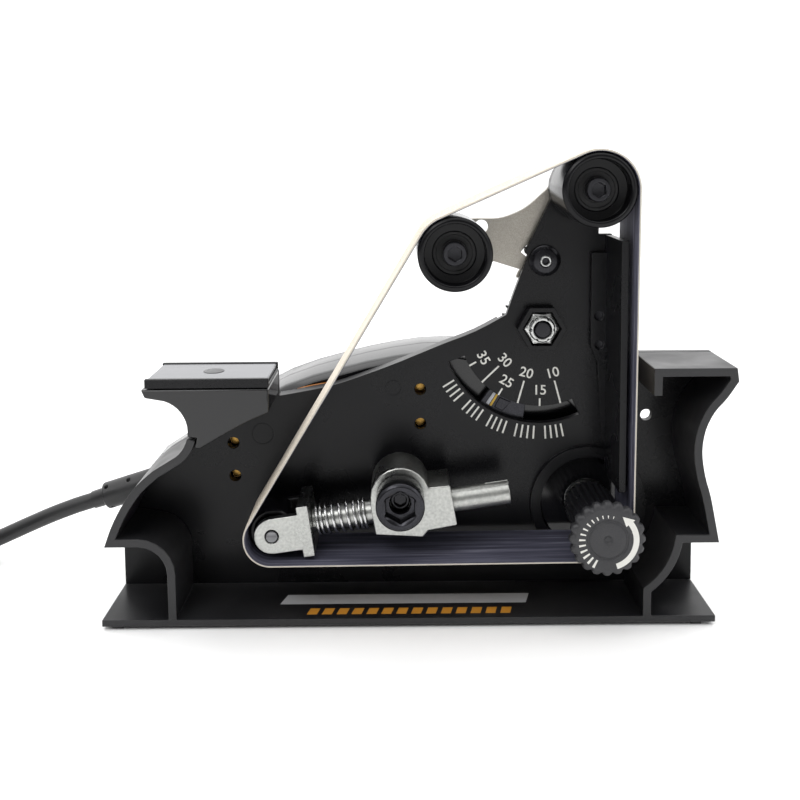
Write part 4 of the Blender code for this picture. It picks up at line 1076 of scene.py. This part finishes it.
BEVELLED = {
    "bench_housing": (TEXTURED_ABS, 0.25, "textured_black_moulding"),
    "main_plate": (SATIN_ABS, 0.12, "satin_black_moulding"),
    "left_rest_block": (GLOSS_ABS, 0.5, "gloss_black_moulding"),
    "rest_tray": (SATIN_ABS, 0.35, "satin_black_moulding"),
    "rest_plate": (POLISHED, 0.25, "bright_steel"),
    "platen": (SATIN_ABS, 0.12, "satin_black_moulding"),
    "tilt_carrier": (BLASTED, 0.2, "steel_plate"),
    "angle_pointer": (BLACK_NICKEL, 0.2, "steel_plate"),
    "tension_block": (ZINC, 0.4, "zinc_casting"),
    "tension_rod": (ZINC, 0.3, "zinc_casting"),
    "tension_pin": (LAMINATION, 0.2, "bright_steel"),
    "front_shell": (GLOSS_ABS, 0.15, "gloss_black_moulding"),
    "rear_shell": (GLOSS_ABS, 0.15, "gloss_black_moulding"),
    "motor_cover": (SATIN_ABS, 0.15, "satin_black_moulding"),
    "lock_knob": (NYLON, 0.4, "satin_black_moulding"),
    "trigger": (NYLON, 0.5, "satin_black_moulding"),
    "lock_button": (RUBBER, 0.4, "rubber"),
    "cooling_fan": (SATIN_ABS, 0.2, "satin_black_moulding"),
    "switch_body": (SATIN_ABS, 0.4, "satin_black_moulding"),
    "rear_foot_left": (RUBBER, 0.2, "rubber"),
    "rear_foot_right": (RUBBER, 0.2, "rubber"),
    "drive_shaft": (PLATED, 0.2, "bright_steel"),
}
KEPT = {"rotor": LAMINATION, "stator": LAMINATION, "commutator": COPPER}


# ---------------------------------------------------------------- printed marks and small fittings

def polar(centre, radius, degrees):
    """A point at an angle from straight down, positive to the right."""
    turn = math.radians(degrees)
    return np.array([centre[0] + radius * math.sin(turn), centre[-1] - radius * math.cos(turn)])


def tick(centre, inner, outer, degrees, wide, face):
    ray = polar((0, 0), 1.0, degrees)
    side = np.array([-ray[1], ray[0]]) * wide / 2
    near, far = polar(centre, inner, degrees), polar(centre, outer, degrees)
    return slab([near - side, far - side, far + side, near + side], face - 0.05, face + 0.05, 0.03)


SCALE = [(10, 15.0), (15, 0.0), (20, -16.0), (25, -31.0), (30, -46.0), (35, -61.0)]


def numeral(text, centre, degrees, tall, face):
    """Points and faces of a number standing on the face, its foot turned towards the given angle."""
    words = bpy.data.curves.new("numeral", "FONT")
    words.body, words.align_x, words.align_y = text, "CENTER", "CENTER"
    words.size, words.extrude, words.resolution_u, words.offset = tall / 0.69, 0.05, 6, 0.05
    carrier = bpy.data.objects.new("numeral", words)
    bpy.context.scene.collection.objects.link(carrier)
    mesh = bpy.data.meshes.new_from_object(carrier.evaluated_get(bpy.context.evaluated_depsgraph_get()))
    flat = np.zeros(len(mesh.vertices) * 3)
    mesh.vertices.foreach_get("co", flat)
    flat = flat.reshape(-1, 3)
    faces = [list(p.vertices) for p in mesh.polygons]
    bpy.data.objects.remove(carrier)
    bpy.data.curves.remove(words)
    bpy.data.meshes.remove(mesh)
    turn = math.radians(degrees)
    x = flat[:, 0] * math.cos(turn) - flat[:, 1] * math.sin(turn)
    z = flat[:, 0] * math.sin(turn) + flat[:, 1] * math.cos(turn)
    return np.column_stack([centre[0] + x, face - flat[:, 2], centre[1] + z]), faces


def make_scale():
    """The tilt scale on the plate: six numbers, a line to each, and short ticks outside the slot."""
    parts = []
    for number, degrees in SCALE:
        long = number % 10 == 0
        parts.append(tick(PIVOT, 20.5 if long else 26.2, 29.0, degrees, 0.62, PLATE_FACE))
        parts.append(numeral(str(number), polar(PIVOT, 17.6 if long else 23.3, degrees), degrees, 3.45,
                             PLATE_FACE))
    for (_, first), (_, second) in zip(SCALE, SCALE[1:]):
        for step in range(1, 5):
            parts.append(tick(PIVOT, 36.4, 41.2, first + (second - first) * step / 5, 0.62, PLATE_FACE))
    points, faces = joined(parts)
    new_object("tilt_scale", mesh_of("tilt_scale", points, faces), "bench_unit", [WHITE_PRINT])


def make_pointer_marks():
    """The index on the pointer: a yellow line with a pale block on one side and facets on the other."""
    face = box("angle_pointer")[0][1]
    line = slab([polar(PIVOT, 29.6, -29.8), polar(PIVOT, 34.4, -29.8), polar(PIVOT, 34.4, -31.2),
                 polar(PIVOT, 29.6, -31.2)], face - 0.25, face + 0.05, 0.05)
    new_object("pointer_index", mesh_of("pointer_index", *line), "pointer", [YELLOW_PRINT])
    block = slab(np.concatenate([arc(PIVOT, 34.4, 236.4, 238.4, 3), arc(PIVOT, 29.6, 238.4, 236.4, 3)]),
                 face - 0.25, face + 0.05, 0.05)
    new_object("pointer_block", mesh_of("pointer_block", *block), "pointer", [SILVER_PRINT])
    facet = slab(np.concatenate([arc(PIVOT, 34.2, 242.0, 247.5, 4), arc(PIVOT, 30.0, 250.5, 242.0, 4)]),
                 face - 0.28, face + 0.05, 0.25)
    new_object("pointer_facet", mesh_of("pointer_facet", *facet), "pointer", [BLACK_NICKEL])


HOLES = ((-65.9, 56.6), (-65.5, 44.4), (1.9, 75.8), (1.9, 63.1))


def make_pins():
    """Four brass locating pins that show in the plate's small holes."""
    for i, (x, z) in enumerate(HOLES):
        turned_piece(f"locating_pin_{i + 1}", [(0.0, 0.0), (1.9, 0.0), (1.9, 4.1), (0.0, 4.1)],
                     (x, -20.4, z), "bench_unit", BRASS, radius=0.5, segments=48)


def make_plate_rings():
    """Two faint rings left by the mould's ejector pins on the plate."""
    for i, (x, z, r) in enumerate(((-55.3, 59.9, 3.9), (-7.8, 76.4, 2.8))):
        turned_piece(f"ejector_ring_{i + 1}", [(r - 0.35, 0.05), (r - 0.2, -0.06), (r, -0.06), (r + 0.15, 0.05)],
                     (x, PLATE_FACE, z), "bench_unit", SATIN_ABS, radius=0.05, closed=True)


def make_rest_disc():
    """A plain round inlay let into the steel plate of the left rest."""
    low, high = box("rest_plate")
    turned_piece("rest_inlay", [(0.0, -0.3), (3.6, -0.3), (3.6, 0.08), (3.2, 0.12), (0.0, 0.12)],
                 ((low[0] + high[0]) / 2, (low[1] + high[1]) / 2, high[2]), "bench_unit", BLACK_OXIDE,
                 direction=(0, 0, 1), radius=0.05)


def flat_mark(outline, level):
    """A thin raised print on a level surface, from an (n, 2) outline in X and Y."""
    points, faces = slab(outline, level - 0.05, level + 0.05, 0.02)
    return points[:, [0, 2, 1]], faces


def make_base_marks():
    """Plain trim in place of lettering on the base: a silver bar over a row of orange dashes."""
    level = BASE_TOP
    bar = [(-46.0, -33.0), (40.0, -33.0), (38.0, -39.5), (-48.0, -39.5)]
    dashes = [flat_mark([(x, -42.6), (x + 3.4, -42.6), (x + 2.4, -46.6), (x - 1.0, -46.6)], level)
              for x in np.arange(-37.0, 34.0, 5.1)]
    new_object("base_bar", mesh_of("base_bar", *flat_mark(bar, level)), "bench_unit", [SILVER_PRINT])
    new_object("base_dashes", mesh_of("base_dashes", *joined(dashes)), "bench_unit", [ORANGE_PRINT])


def make_accent():
    """The coloured seam strip, seated lower than its solid so that only a thin line clears the plate."""
    strip = bevelled("accent_strip", AMBER_TRIM, 0.15, "orange_trim")
    strip.data.transform(Matrix.Translation((0.0, 0.0, -2.4 * MM)))


# ---------------------------------------------------------------- floor and light

def make_stage():
    mesh = bpy.data.meshes.new("floor")
    mesh.from_pydata([(-90, -90, 0), (90, -90, 0), (90, 90, 0), (-90, 90, 0)], [], [(0, 1, 2, 3)])
    floor = bpy.data.objects.new("floor", mesh)
    bpy.context.scene.collection.objects.link(floor)
    finish, tree, shader, where = start_finish("pale_board", 0.6)
    cloud = add(tree, "TexNoise", {"Vector": where, "Scale": 3.0, "Detail": 2.0}).outputs["Fac"]
    tone = add(tree, "ValToRGB", {"Fac": cloud}, stops=[(0.3, "#f2f2f2"), (0.7, "#f6f6f6")])
    tree.links.new(tone.outputs["Color"], shader.inputs["Base Color"])
    mesh.materials.append(finish)
    world = bpy.data.worlds.new("studio")
    world.use_nodes = True
    tree = world.node_tree
    towards = add(tree, "VectorMath", {0: add(tree, "TexCoord").outputs["Generated"], 1: (0.0, 0.76, 0.65)},
                  operation="DOT_PRODUCT")
    room = add(tree, "MapRange", {"Value": towards.outputs["Value"], "From Min": -0.15, "From Max": 0.4,
                                  "To Min": 0.28, "To Max": 1.65})
    tree.links.new(room.outputs["Result"], tree.nodes["Background"].inputs["Strength"])
    tree.nodes["Background"].inputs["Color"].default_value = linear("#ffffff")
    bpy.context.scene.world = world
    lights = []
    for name, spot, aim, size, power in (
            ("key", (-0.55, -0.75, 0.95), (0, 0, 0.08), (0.7, 0.5), 4.4),
            ("fill", (0.9, -0.5, 0.45), (0, 0, 0.06), (0.4, 0.8), 1.6),
            ("top", (0.0, 0.15, 1.3), (0, 0, 0.05), (1.6, 1.0), 8.0)):
        data = bpy.data.lights.new(name, "AREA")
        data.shape, data.size, data.size_y, data.energy = "RECTANGLE", *size, power
        lamp = bpy.data.objects.new(name, data)
        bpy.context.scene.collection.objects.link(lamp)
        spot, aim = Vector(spot), Vector(aim)
        lamp.matrix_world = Matrix.Translation(spot) @ (spot - aim).to_track_quat("Z", "Y").to_matrix().to_4x4()
        lights.append(lamp)
    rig.stage(floor, *lights)
    bpy.context.scene.view_settings.view_transform = "Standard"


# ---------------------------------------------------------------- build

make_camera()
make_cord()
make_belt()
make_roller("top_roller_dished", "top_roller", "upper_wheel")
make_roller("left_roller_dished", "left_roller", "tilting_wheel")
for node, body in (("top_bearing_front", "bench_unit"), ("top_bearing_rear", "bench_unit"),
                   ("left_bearing_front", "carrier"), ("left_bearing_rear", "carrier")):
    make_bearing(node, body, RUBBER)
for node in ("shaft_bearing_front", "shaft_bearing_rear"):
    make_bearing(node, "bench_unit", PLATED)
make_cap_screw("top_axle_screw", "bench_unit", 4.0, 4.0, 2.2)
make_cap_screw("left_axle_screw", "carrier", 4.0, 4.0, 2.2)
make_cap_screw("guide_screw", "bench_unit", 5.6, 2.6, 1.9, dome=1.5)
for node in ("platen_screw_1", "platen_screw_2"):
    make_cap_screw(node, "bench_unit", 3.0, 2.0, 1.4, dome=0.6, shank=1.5)
for node in ("shell_screw_1", "shell_screw_2", "shell_screw_3"):
    make_cap_screw(node, "bench_unit", 3.0, 2.2, 1.4, dome=0.5, shank=1.6, flip=True)
for node, body in (("top_axle_nut", "bench_unit"), ("left_axle_nut", "carrier")):
    make_nut(node, body)
make_guide_eyelet()
make_lock_nut()
make_clamp_knob()
make_tracking_knob()
make_drive()
make_tension_roller()
make_spring()
make_speed_dial()
make_handle_end()
for node, (finish, width, slot) in BEVELLED.items():
    bevelled(node, finish, width, slot)
for node, finish in KEPT.items():
    frame["nodes"][node].data.materials.clear()
    frame["nodes"][node].data.materials.append(finish)
bevelled("guide_nut", PLATED, 0.25, "steel_plate")
make_scale()
make_pointer_marks()
make_pins()
make_plate_rings()
make_rest_disc()
make_base_marks()
make_accent()
make_stage()

with open("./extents.json", "w") as size_file:
    json.dump({"cad": [list(corner) for corner in CAD_BOX], "shown": [list(corner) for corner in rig.bounds()]},
              size_file)
